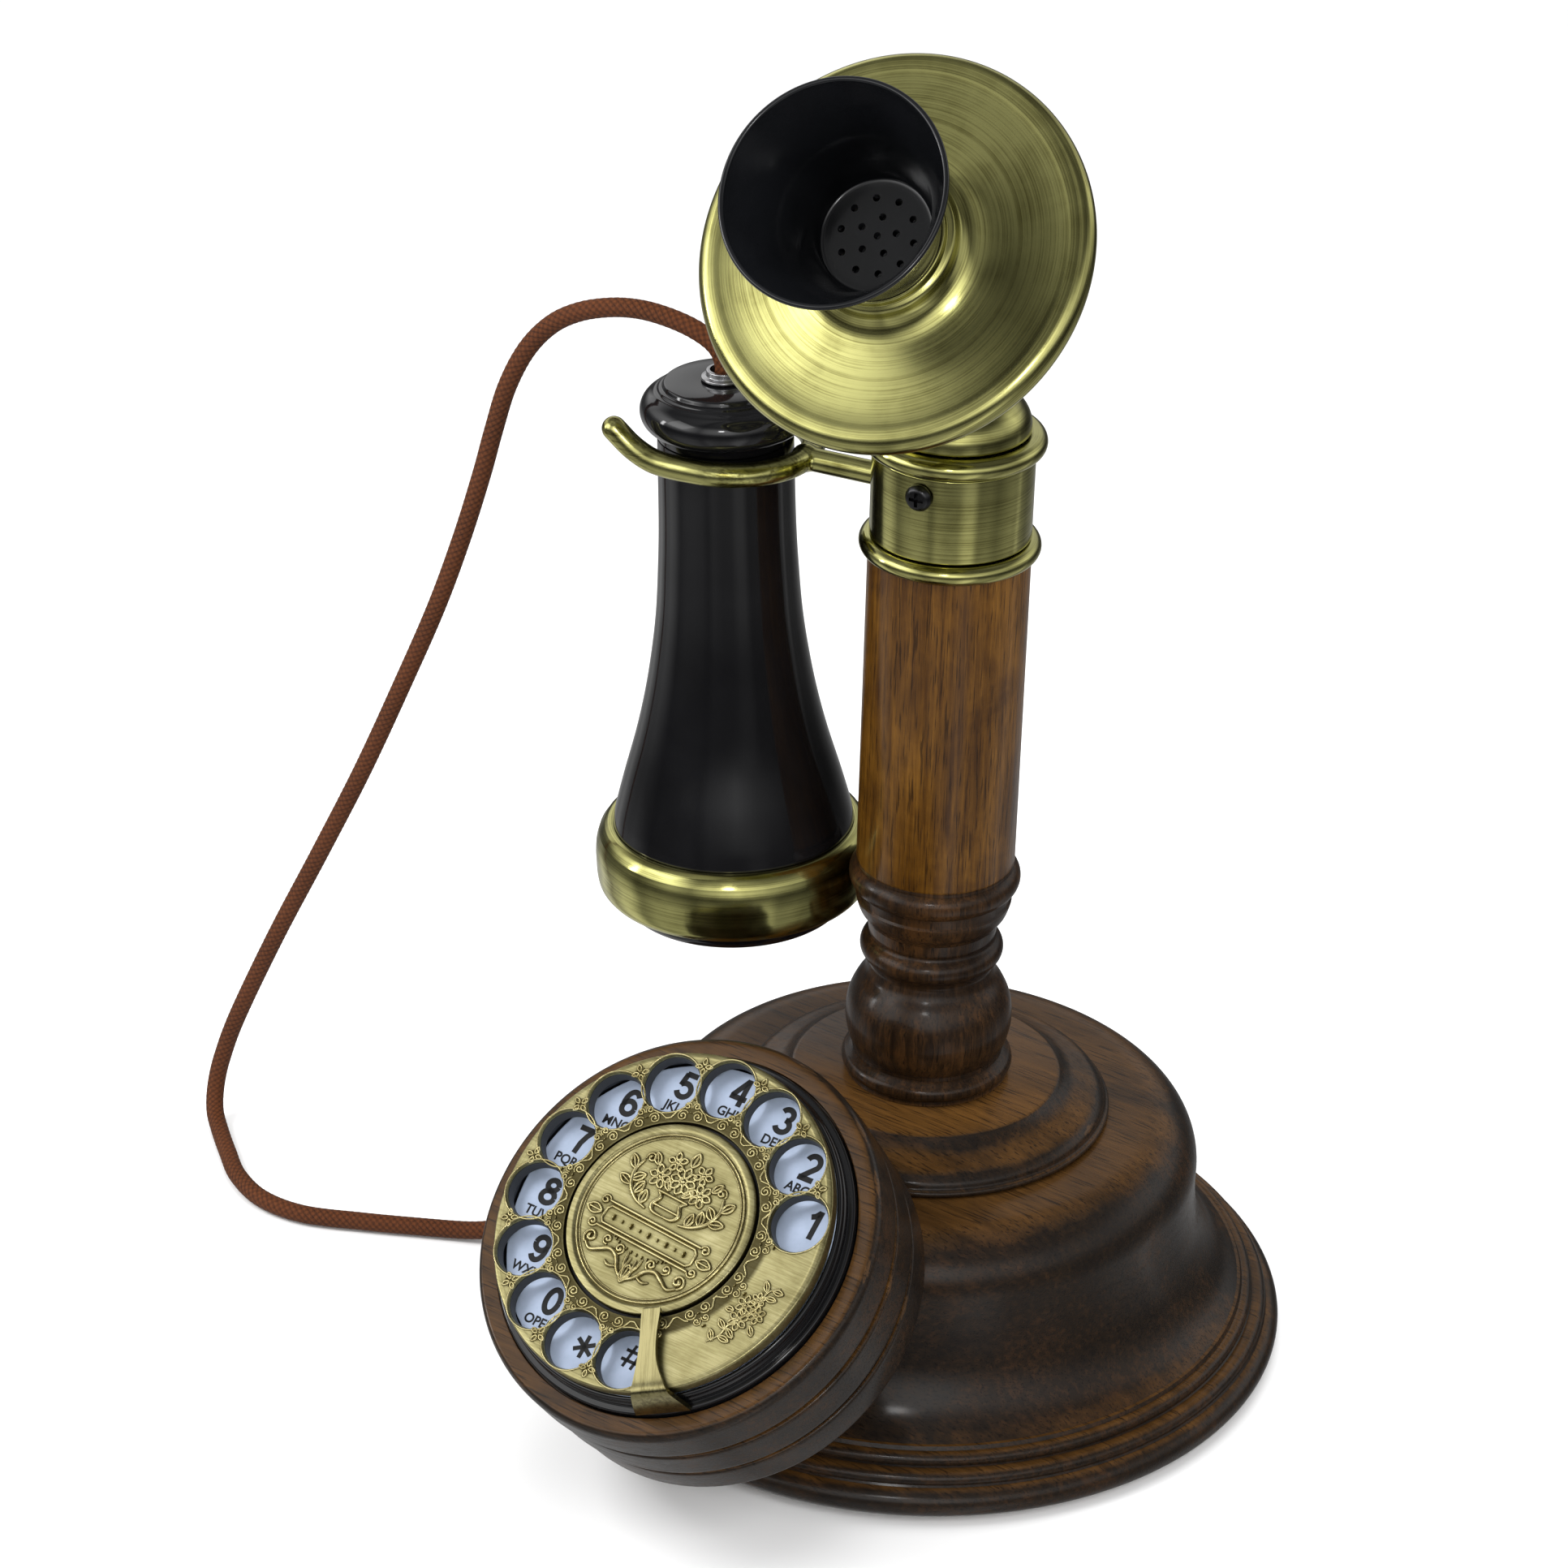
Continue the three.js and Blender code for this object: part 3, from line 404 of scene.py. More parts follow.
def turned_object(name, outline, matrix=WORLD, sides=160):
    """A closed mesh turned about Z from an outline in millimetres; points at radius 0 become poles."""
    bm = bmesh.new()
    rings = []
    for r, z in outline:
        if r < 1e-6:
            rings.append([bm.verts.new((0, 0, z * MM))])
            continue
        turns = [2 * math.pi * k / sides for k in range(sides)]
        rings.append([bm.verts.new((r * MM * math.cos(a), r * MM * math.sin(a), z * MM)) for a in turns])
    pairs = list(zip(rings, rings[1:]))
    if len(rings[0]) > 1:
        pairs.append((rings[-1], rings[0]))
    for low, high in pairs:
        if len(low) == 1 and len(high) == 1:
            continue
        for k in range(sides):
            n = (k + 1) % sides
            if len(low) == 1:
                bm.faces.new((low[0], high[k], high[n]))
            elif len(high) == 1:
                bm.faces.new((low[k], high[0], low[n]))
            else:
                bm.faces.new((low[k], high[k], high[n], low[n]))
    bmesh.ops.recalc_face_normals(bm, faces=bm.faces)
    if bm.calc_volume(signed=True) < 0:
        bmesh.ops.reverse_faces(bm, faces=bm.faces)
    mesh = mesh_of(bm, name)
    smooth(mesh)
    return make_object(name, mesh, matrix)


def finish_piece(obj, style, *nodes, body=None, slot=None):
    """Gives a piece its material and body, and hides the CAD nodes that it stands for; its slot is not used.
    """
    obj.data.materials.clear()
    obj.data.materials.append(STYLE[style])
    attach(obj, body or BODY_OF[nodes[0]])
    if nodes:
        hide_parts(*nodes)
    return obj


def turned(name, outline, matrix, style, *nodes, sides=160, cuts=(), **extra):
    obj = turned_object(name, outline, matrix, sides)
    if cuts:
        cut(obj, cuts)
    return finish_piece(obj, style, *nodes, **extra)


def restyle(obj, style, chosen):
    """Gives the faces whose centres are chosen a second material."""
    obj.data.materials.append(STYLE[style])
    for face in obj.data.polygons:
        if chosen(face.center):
            face.material_index = 1


def evaluated_mesh(obj):
    bpy.context.view_layer.update()
    ready = obj.evaluated_get(bpy.context.evaluated_depsgraph_get())
    return bpy.data.meshes.new_from_object(ready)


def bake(obj):
    """Applies the modifiers of a piece, whatever they are."""
    mesh = evaluated_mesh(obj)
    old = obj.data
    obj.modifiers.clear()
    obj.data = mesh
    mesh.name = obj.name
    bpy.data.meshes.remove(old)


def cut(obj, tools):
    """Cuts a mesh with temporary objects, which are then removed."""
    for tool in tools:
        modifier = obj.modifiers.new("cut", "BOOLEAN")
        modifier.operation = "DIFFERENCE"
        modifier.solver = "EXACT"
        modifier.object = tool
    bake(obj)
    for tool in tools:
        bpy.data.objects.remove(tool, do_unlink=True)
    smooth(obj.data)


def soften(obj, voxel, rounds=8):
    """Melts the parts of one mesh together, with soft inside corners."""
    remesh = obj.modifiers.new("remesh", "REMESH")
    remesh.mode = "VOXEL"
    remesh.voxel_size = voxel * MM
    relax = obj.modifiers.new("relax", "SMOOTH")
    relax.factor = 0.5
    relax.iterations = rounds
    bake(obj)
    smooth(obj.data, 80)


def pin_tool(radius, start, end, matrix=WORLD, sides=32):
    """A temporary cylinder between two points."""
    start = Vector(start)
    along = Vector(end) - start
    outline = [(0, 0), (radius, 0), (radius, along.length), (0, along.length)]
    return turned_object("tool", outline, matrix @ place(*start) @ pointing(along), sides)


def pointing(along, axis="Z"):
    """The turn that lays an axis along a direction."""
    return along.to_track_quat(axis, "Y").to_matrix().to_4x4()


def block_tool(size, centre, matrix=WORLD):
    bm = bmesh.new()
    bmesh.ops.create_cube(bm, size=1)
    bmesh.ops.scale(bm, vec=[s * MM for s in size], verts=bm.verts)
    return make_object("tool", mesh_of(bm, "tool"), matrix @ place(*centre))


def joined(name, tools, matrix=WORLD):
    """One mesh from several temporary objects, left as they lie."""
    bm = bmesh.new()
    back = matrix.inverted()
    for tool in tools:
        part = tool.data.copy()
        part.transform(back @ tool.matrix_world)
        bm.from_mesh(part)
        bpy.data.meshes.remove(part)
        bpy.data.objects.remove(tool, do_unlink=True)
    return make_object(name, mesh_of(bm, name), matrix)


def frames_along(points):
    """Two steady cross directions at each point of a path."""
    out = []
    side = None
    for i in range(len(points)):
        ahead = (points[min(i + 1, len(points) - 1)] - points[max(i - 1, 0)]).normalized()
        if side is None:
            side = ahead.orthogonal().normalized()
        side = (side - ahead * side.dot(ahead)).normalized()
        out.append((side, ahead.cross(side)))
    return out


def swept_mesh(name, points, radius_at, sides=24, height_at=None):
    """A closed round tube along points (mm); radius_at(i, angle) is its radius there."""
    points = [Vector(p) for p in points]
    verts = []
    heights = []
    for i, (point, (side, other)) in enumerate(zip(points, frames_along(points))):
        for k in range(sides):
            a = 2 * math.pi * k / sides
            verts.append((point + (side * math.cos(a) + other * math.sin(a)) * radius_at(i, a)) * MM)
            heights.append(height_at(i, a) if height_at else 0)
    faces = []
    for i in range(len(points) - 1):
        for k in range(sides):
            n = (k + 1) % sides
            faces.append((i * sides + k, i * sides + n, (i + 1) * sides + n, (i + 1) * sides + k))
    faces.append(tuple(reversed(range(sides))))
    faces.append(tuple(range(len(verts) - sides, len(verts))))
    mesh = bpy.data.meshes.new(name)
    mesh.from_pydata(verts, [], faces)
    if height_at:
        mesh.attributes.new("weave", "FLOAT", "POINT").data.foreach_set("value", heights)
    mesh.update()
    smooth(mesh, 50)
    return mesh


# ------------------------------------------------------------------ camera
LENS = 102.5
CAMERA_PLACE = (0.46912, -0.72238, 0.59909)
CAMERA_RIGHT = (0.8089, 0.5875, 0.0240)
CAMERA_BACK = (0.5085, -0.7194, 0.4731)


def make_camera():
    data = bpy.data.cameras.new("camera")
    data.sensor_width = 36
    data.lens = LENS
    right = Vector(CAMERA_RIGHT).normalized()
    back = Vector(CAMERA_BACK)
    back = (back - right * back.dot(right)).normalized()
    turn = Matrix((right, back.cross(right), back)).transposed().to_4x4()
    bpy.context.scene.camera = make_object("camera", data, Matrix.Translation(CAMERA_PLACE) @ turn)


# ------------------------------------------------------------------ cord
CORD_DIAMETER = 4.4
CORD_STRANDS = 8
CORD_PITCH = 13.0                 # length in which a strand goes once round
CORD_ROUTE = [
    (-53.1, -9.7, 221.5), (-53.3, -9.7, 226.4), (-55.2, -10.1, 230), (-59.5, -11.1, 232.6),
    (-65.5, -12.4, 234.3), (-72.5, -13.9, 235), (-79.5, -15.5, 234.2), (-87, -17.1, 231.7),
    (-93.5, -18.5, 227.5), (-99.3, -19.8, 220.6), (-104, -20.8, 211), (-107.3, -21.5, 200),
    (-110.5, -22.2, 188), (-115.5, -23.3, 171.5), (-122, -24.7, 153), (-131, -26.7, 131),
    (-141.5, -29, 106.5), (-153, -31.5, 82), (-165.5, -34.2, 56), (-176.8, -36.7, 30.5),
    (-181.2, -38.2, 17.5), (-182.3, -39.8, 9.6), (-180.4, -42.6, 4.4), (-175.6, -46.3, 2.4),
    (-167, -52.8, 2.3), (-158, -59, 2.3), (-147, -62.8, 2.3), (-135, -61.8, 2.3),
    (-122, -55.6, 2.3), (-109, -48.5, 2.3), (-98.5, -42.9, 2.7), (-91.5, -39.4, 4.4),
    (-85, -36.3, 6.4), (-77.3, -32.7, 7), (-71.6, -30.3, 7),
]


def even(points, step):
    """The same path with points a step apart, and its length."""
    lengths = [0.0]
    for a, b in zip(points, points[1:]):
        lengths.append(lengths[-1] + (Vector(b) - Vector(a)).length)
    total = lengths[-1]
    count = int(total / step)
    out = []
    k = 0
    for i in range(count + 1):
        want = total * i / count
        while k < len(lengths) - 2 and lengths[k + 1] < want:
            k += 1
        part = (want - lengths[k]) / max(lengths[k + 1] - lengths[k], 1e-9)
        out.append(Vector(points[k]).lerp(Vector(points[k + 1]), part))
    return out, total


def make_cord():
    path, length = even(curve(CORD_ROUTE, 12), 0.4)
    radius = CORD_DIAMETER / 2
    step = length / (len(path) - 1)

    def weave(i, a):
        """How far up a strand is: two sets of strands wind opposite ways, over two and under two."""
        turn = 2 * math.pi * i * step / CORD_PITCH
        left = CORD_STRANDS * (a + turn)
        right = CORD_STRANDS * (a - turn)
        over = math.sin((left + right) / 2) * math.sin((left - right) / 2)
        one = abs(math.cos(left / 2)) * (0.62 + 0.38 * over)
        two = abs(math.cos(right / 2)) * (0.62 - 0.38 * over)
        return max(one, two)

    mesh = swept_mesh("cord", path, lambda i, a: radius * (0.93 + 0.085 * weave(i, a)), 40, weave)
    cord = make_object("cord", mesh)
    cord.data.materials.append(STYLE["cord_braid"])
    route = [tuple(p * MM) for p in path[::5]]
    if len(path) % 5 != 1:
        route.append(tuple(path[-1] * MM))
    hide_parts("cord_hanging", "cord_floor")
    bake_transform(cord)


# ------------------------------------------------------------------ floor, lights
# What polished surfaces mirror: brightness by height, then by direction round the room, low down and high up.
LEVELS = (
    (0.0, 0.38), (0.15, 0.40), (0.24, 0.38), (0.30, 0.22), (0.42, 0.05), (0.5, 0.06), (0.56, 0.30),
    (0.62, 0.80), (0.70, 0.95), (0.76, 0.85), (0.80, 0.50), (0.853, 0.13), (0.92, 0.16), (1.0, 0.20),
)
LOW_PANELS = (
    (0.0, 0.5), (0.033, 0.7), (0.053, 1.0), (0.08, 0.9), (0.117, 0.25), (0.16, 0.5), (0.2, 0.55),
    (0.235, 0.5), (0.265, 0.28), (0.29, 0.6), (0.33, 0.45), (0.37, 0.5), (0.40, 1.0), (0.425, 1.0),
    (0.45, 0.35), (0.49, 0.4), (0.53, 0.25), (0.6, 0.5), (0.63, 0.5), (0.643, 1.0), (0.655, 0.4),
    (0.70, 0.25), (0.80, 0.5), (0.93, 0.6), (0.955, 1.0), (1.0, 0.5),
)
HIGH_PANELS = (
    (0.0, 0.4), (0.08, 0.8), (0.158, 1.0), (0.20, 1.0), (0.225, 0.6), (0.25, 0.3), (0.28, 0.6),
    (0.33, 0.8), (0.36, 1.0), (0.42, 0.5), (0.5, 0.3), (0.58, 0.25), (0.66, 0.5), (0.75, 0.25),
    (0.84, 0.3), (0.92, 0.6), (1.0, 0.4),
)
GLOSS_GAIN = 1.5                  # how much stronger the mirrored studio is than the soft light
FLOOR_HALF = 6                    # metres

# Area lamps: place and aim in metres, width and height, power, and whether polished surfaces mirror it.
LAMPS = (
    ("key", (-0.55, -0.75, 1.15), (0, 0, 0.15), (0.5, 0.5), 11, False),
    ("window", (0.95, -0.25, 0.75), (0, 0, 0.15), (0.35, 0.9), 7, False),
    ("top", (0.05, 0.1, 1.4), (0, 0, 0.1), (0.9, 0.9), 9, False),
    ("front", (0.15, -1.5, 0.35), (0, 0, 0.12), (0.9, 0.35), 5, False),
    ("sky", (-0.2, -0.265, 0.36), (0, -0.1, 0.05), (0.17, 0.17), 0.14, True),
    ("glint_right", (0.5, -0.95, 0.8), (0, 0, 0.2), (0.14, 0.14), 1.2, True),
    ("glint_left", (-1.1, -0.75, 0.45), (0, 0, 0.15), (0.12, 0.35), 1.5, True),
)


def make_world():
    """Soft light all round; polished surfaces mirror a lit table, a dark band at eye level and soft boxes."""
    scene = bpy.context.scene
    scene.view_settings.view_transform = "Standard"
    world = scene.world = bpy.data.worlds.new("studio")
    world.use_nodes = True
    world.cycles.sampling_method = "NONE"
    tree = world.node_tree
    direction = node(tree, "ShaderNodeTexCoord").outputs["Generated"]
    x, y, z = node(tree, "ShaderNodeSeparateXYZ", {0: direction}).outputs
    level = plus(times(z, 0.5), 0.5)
    turn = plus(maths("DIVIDE", maths("ARCTAN2", y, x), 2 * math.pi), 0.5)
    high = ramp(level, (0.48, 0.0), (0.54, 1.0))
    panels = mix(high, ramp(turn, *LOW_PANELS), ramp(turn, *HIGH_PANELS))
    mirror = mix(1.0, ramp(level, *LEVELS), panels, "MULTIPLY")
    soft = ramp(level, (0.45, 0.55), (0.6, 0.72), (1.0, 0.85))
    rays = node(tree, "ShaderNodeLightPath").outputs
    shade = mix(rays["Is Camera Ray"], mix(rays["Is Glossy Ray"], soft, mirror), (1.0, 1.0, 1.0))
    strength = plus(times(rays["Is Glossy Ray"], GLOSS_GAIN), 1.0)
    feed(tree, tree.nodes["Background"], {"Color": shade, "Strength": strength})


def make_floor():
    """A pale floor that fades to plain white away from the object."""
    tree = new_material("floor")
    away = node(tree, "ShaderNodeVectorMath", {0: node(tree, "ShaderNodeTexCoord").outputs["Object"]},
                operation="LENGTH").outputs["Value"]
    fade = ramp(times(away, 0.5), (0.2, 0.0), (0.6, 1.0))
    near = ramp(noise(place_of(tree), 0.01, 2), (0.3, 0.86), (0.7, 0.89))
    feed(tree, tree.nodes["Principled BSDF"], {
        "Base Color": mix(fade, near, (0.0, 0.0, 0.0)), "Roughness": 0.75,
        "Emission Color": (1, 1, 1), "Emission Strength": fade,
    })
    bm = bmesh.new()
    bmesh.ops.create_grid(bm, x_segments=1, y_segments=1, size=FLOOR_HALF)
    mesh = mesh_of(bm, "floor")
    mesh.materials.append(STYLE["floor"])
    floor = make_object("floor", mesh)
    floor.visible_glossy = False


def make_lamps():
    for name, spot, aim, size, power, mirrored in LAMPS:
        data = bpy.data.lights.new(name, "AREA")
        data.shape = "RECTANGLE"
        data.size, data.size_y = size
        data.energy = power
        lamp = make_object(name, data, Matrix.Translation(spot) @ pointing(Vector(aim) - Vector(spot), "-Z"))
        lamp.visible_glossy = mirrored
        lamp.visible_camera = False


# ------------------------------------------------------------------ base and column
SHELF_Z = 57
TIER_TOP = 66
FELT_TOP = 1.2
FOOT = Vector((-77.3, -32.7, 7))          # where the cord goes into the foot
INTO_FOOT = Vector((77.3, 32.7, 0)).normalized()


def make_base():
    outside = [
        (0, SHELF_Z), (46, SHELF_Z),
        *arc(50, 44.4, 12.6, 88, 0, 20),
        *curve([(62.5, 40), (63, 34.5), (64.3, 28), (66.8, 22.2), (70, 17.8), (73.9, 14.8)]),
        (74.6, 14.75),
        *arc(75.7, 12.3, 1.75, 112, -25),
        (77.6, 11.3),
        *arc(78.9, 9.5, 1.9, 100, -20),
        (81.0, 8.45),
        *arc(80.35, 4.9, 3.65, 72, -62, 16),
        (81.6, 1.5), (76.5, 1.5), (76, 2.2), (73.4, 2.2), (73.4, 4.9), (64, 4.9), (64, 9), (60, 16),
        (54, 30), (53, 42), (49, 47), (0, 47),
    ]
    turned("base_bell", outside, WORLD, "walnut", "base_bell", sides=192, cuts=[
        pin_tool(4.2, FOOT - INTO_FOOT * 12, FOOT + INTO_FOOT * 30),
        block_tool((14.6, 34, 14.2), (0, 66, 17)),
    ])

    tier = [
        (4.4, SHELF_Z + 0.25), (41.2, SHELF_Z + 0.25),
        *arc(41.1, 58.0, 0.75, -80, 80, 8),
        *curve([(40.9, 59.0), (40.3, 60.4), (38.6, 61.8), (35.8, 62.6), (33.4, 63.4), (31.5, 64.6),
                (30.2, 65.8)], 6),
        (29.5, TIER_TOP), (4.4, TIER_TOP),
    ]
    turned("base_tier", rounded(tier), WORLD, "walnut", "base_tier", sides=176)

    felt_disc = rounded([(0, 0), (79, 0, 0.5), (79, FELT_TOP, 0.4), (0, FELT_TOP)])
    turned("base_felt", felt_disc, WORLD, "felt", "base_felt")

    rim = rounded([(2.5, -1.7, 0.3), (3.9, -1.7, 0.8), (4.7, -0.9, 0.5), (4.7, -0.2, 0.2), (3.9, 0.1),
                   (3.9, 9), (2.5, 9)])
    inward = place(*(FOOT - INTO_FOOT * 0.5)) @ pointing(INTO_FOOT)
    turned("cord_bushing", rim, inward, "black_matte", "cord_bushing", sides=48)


def make_column():
    shaft_foot = (17.3, 119.9)
    outline = [
        (4.4, TIER_TOP + 0.25), (18.4, TIER_TOP + 0.25),
        *arc(17.15, 69.0, 2.1, -55, 62, 12),
        (17.7, 71.35), (16.9, 71.8), (16.8, 72.6),
        *curve([(17.1, 73.1), (18.1, 76), (18.7, 80), (18.2, 84.6), (16.6, 88.4), (14.7, 91.2),
                (13.9, 93.4)]),
        (13.9, 94.0),
        *arc(13.0, 97.9, 3.0, -58, 62, 14),
        (14.0, 101.0), (13.9, 101.5),
        *curve([(14.2, 101.9), (14.5, 104.0), (14.6, 104.9)], 4),
        (14.9, 105.2), (15.0, 105.6),
        *curve([(15.2, 105.9), (16.3, 107.3), (17.0, 109.2), (17.3, 110.4)], 5),
        (16.9, 110.9), (16.9, 111.5),
        *arc(15.5, 116.1, 3.5, -62, 58, 16),
        (17.4, 119.5), shaft_foot, (17.5, 120.4), (17.5, 194.3), (15.2, 194.4), (15.2, 200), (4.4, 200),
    ]
    column = turned("column", outline, WORLD, "turned_wood", "column", sides=144)
    restyle(column, "column_wood", lambda centre: centre.z > shaft_foot[1] * MM)


# ------------------------------------------------------------------ brass head
HOOK_Z = 208.5
PIVOT_X = -5
SCREW_Z = 213.8
CAP_R = 16.2
CAP_Z = 224.2


def bead(r, z, radius, inner, start=-80, end=80):
    """Outline of a round bead on a ring whose bore has the inner radius."""
    outer = arc(r, z, radius, start, end, 16)
    return [(inner, outer[0][1]), *outer, (inner, outer[-1][1])]


def make_head():
    beads = {"collar_ring_lower": bead(17.4, 196.6, 2.1, 15.6, -70, 72),
             "collar_ring_upper": bead(17.45, 220.6, 2.2, 15.8)}
    for name, outline in beads.items():
        turned(name, outline, HEAD, "spun_brass", name)

    sleeve = rounded([(15.75, 199), (17.35, 199, 0.3), (17.35, 218, 0.3), (15.75, 218)])
    turned("collar_sleeve", sleeve, HEAD, "spun_brass", "collar_sleeve", cuts=[
        block_tool((10, 7, 8.6), (-17.35, 0, HOOK_Z + 1.1), HEAD),
        pin_tool(1.9, (0, -22, SCREW_Z), (0, -13, SCREW_Z), HEAD),
    ])

    dome = [(0, 223.2), (16.0, 223.2), (CAP_R, 223.5), (CAP_R, CAP_Z), *oval(0, CAP_Z, CAP_R, 9.9, 5, 85, 16)]
    turned("dome_cap", [*dome, (0, 234.1)], HEAD, "spun_brass", "dome_yoke")

    pivot = TILT_PIVOT.z
    foot = 229
    for side, name in ((-1, "yoke_ear_left"), (1, "yoke_ear_right")):
        ear = joined(name, [
            pin_tool(6.5, (side * 4, 0, pivot), (side * 7, 0, pivot), HEAD, 64),
            block_tool((3, 13, pivot - foot), (side * 5.5, 0, (pivot + foot) / 2), HEAD),
        ], HEAD)
        soften(ear, 0.25)
        cut(ear, [pin_tool(2.3, (side * 2, 0, pivot), (side * 9, 0, pivot), HEAD)])
        finish_piece(ear, "plain_brass", "dome_yoke")

    along = HEAD @ place(0, 0, pivot) @ Matrix.Rotation(math.pi / 2, 4, "Y")
    screw = rounded([(0, -11.4), (2, -11.4, 0.4), (2, 7.3), (4.3, 7.3, 0.2), (4.3, 9.2, 0.6),
                     (3.4, 10.2, 0.5), (0, 10.2)])
    slot = block_tool((8.8, 1, 1.8), (0, 0, 10.4), along)
    turned("tilt_screw", screw, along, "black_screw", "tilt_screw", sides=64, cuts=[slot])
    flats = [(2.5, -10.3), (4.8, -10.3), (4.8, -7.4), (2.5, -7.4)]
    nut = turned("tilt_nut", flats, along, "steel", "tilt_nut", sides=6)
    bevel = nut.modifiers.new("bevel", "BEVEL")
    bevel.width = 0.25 * MM
    bevel.segments = 3

    front = HEAD @ place(0, -14.05, SCREW_Z) @ Matrix.Rotation(math.pi / 2, 4, "X")
    screw = rounded([(0, 0), (1.6, 0), (1.6, 3.5), (2.95, 3.55, 0.2), (2.95, 4.2, 0.5), (2.3, 5.2, 0.6),
                     (0, 5.5)])
    cross = [block_tool(size, (0, 0, 5.4), front) for size in ((3.2, 0.75, 2.4), (0.75, 3.2, 2.4))]
    turned("collar_screw", screw, front, "black_screw", "collar_screw", sides=64, cuts=cross)


def make_hook():
    """A rod bent into a fork, with rounded tips, on an arm with a pivot eye."""
    centre, radius, rod = -52.4, 18, 2.7
    half = [(x, y, HOOK_Z) for x, y in arc(centre, 0, radius, 0, -90, 6)]
    half += [(-58, -radius, HOOK_Z), (-62.5, -radius, HOOK_Z + 0.6), (-67, -radius, HOOK_Z + 2.7),
             (-71.2, -radius, HOOK_Z + 6)]
    rear = [(x, -y, z) for x, y, z in half[1:-1]] + [(-69.4, radius, HOOK_Z + 4)]
    path = curve([*reversed(rear), *half], 10)
    bend = (centre + radius, 0, HOOK_Z)
    lever = joined("hook_lever", [
        make_object("tool", swept_mesh("tool", path, lambda i, a: rod, 32), HEAD),
        *[turned_object("tool", ball(rod + 0.02), HEAD @ place(*tip), 32) for tip in (path[0], path[-1])],
        pin_tool(rod - 0.1, bend, (PIVOT_X, 0, HOOK_Z), HEAD),
        pin_tool(4.4, (PIVOT_X, -4, HOOK_Z), (PIVOT_X, 4, HOOK_Z), HEAD, 40),
        turned_object("tool", ball(rod + 0.5), HEAD @ place(*bend), 32),
    ], HEAD)
    soften(lever, 0.32, 10)
    finish_piece(lever, "plain_brass", "hook_lever")


# ------------------------------------------------------------------ transmitter
def make_transmitter():
    plate = [
        *rounded([(12.7, 7), (12.7, 11.8, 0.2), (14.0, 11.8, 0.5), (14.1, 10.2, 0.2), (15.4, 9.7, 0.9),
                  (15.8, 7.9)]),
        *curve([(16.2, 7.3), (17.6, 6.0), (20, 5.0), (24, 4.25), (29, 3.65), (33.0, 3.3), (35.6, 3.2),
                (37.2, 3.22)]),
        *arc(38.2, 0, 3.12, 88, -92, 30),
        (36.4, -2.6), (35.4, 1.1), (28, 1.9), (21, 2.8), (16.6, 4.2),
    ]
    turned("face_plate", plate, TRANSMITTER, "spun_brass", "face_plate", sides=224)

    cup = [
        *curve([(0, -28.4), (7, -28), (14, -26), (22, -21.6), (29.4, -15.4), (34.6, -8.6), (36.6, -3.7)], 6),
        (34.8, -3.7),
        *curve([(32.8, -8), (26, -15.8), (13.4, -24), (0, -26.2)], 6),
    ]
    turned("transmitter_cup", cup, TRANSMITTER, "spun_brass", "transmitter_cup")

    pivot = TRANSMITTER.inverted() @ (TILT_PIVOT * MM) / MM
    back = Vector((0, -2.4, -26.9))
    outward = (pivot - back).normalized()
    knuckle, bore = Vector((3.6, 0, 0)), Vector((9, 0, 0))
    arm = joined("transmitter_arm", [
        pin_tool(3.4, back, pivot, TRANSMITTER),
        pin_tool(7.2, back - outward * 1.5, back + outward * 1.8, TRANSMITTER, 48),
        pin_tool(6.1, pivot - knuckle, pivot + knuckle, TRANSMITTER, 48),
    ], TRANSMITTER)
    soften(arm, 0.35)
    cut(arm, [pin_tool(2.3, pivot - bore, pivot + bore, TRANSMITTER)])
    finish_piece(arm, "plain_brass", "transmitter_cup")

    horn = [
        (0, 11.2), (9.9, 11.2), (10.9, 11.2), (11.3, 11.22), (11.55, 11.3),
        *curve([(11.7, 11.4), (12.5, 13.6), (14, 19.4), (16, 25.8), (18.7, 31.8), (21.4, 36.6),
                (22.3, 38.2)]),
        *arc(22.65, 38.25, 0.6, 175, -60, 12),
        *curve([(21.9, 36.2), (19.9, 32), (17.3, 25.6), (15, 18.6), (13.7, 12.9)]),
        (13.5, 12.0), (12.4, 12.0), (12.4, 5.4), (10.4, 5.4), (10.4, 9.2), (0, 9.2),
    ]
    drills = [(0, 0), *spots_round(3.9, 5, 90), *spots_round(7.8, 10, 72)]
    turned("mouthpiece_horn", horn, TRANSMITTER, "black_horn", "mouthpiece_horn", cuts=[
        pin_tool(0.75, (x, y, 5), (x, y, 14), TRANSMITTER, 20) for x, y in drills
    ])


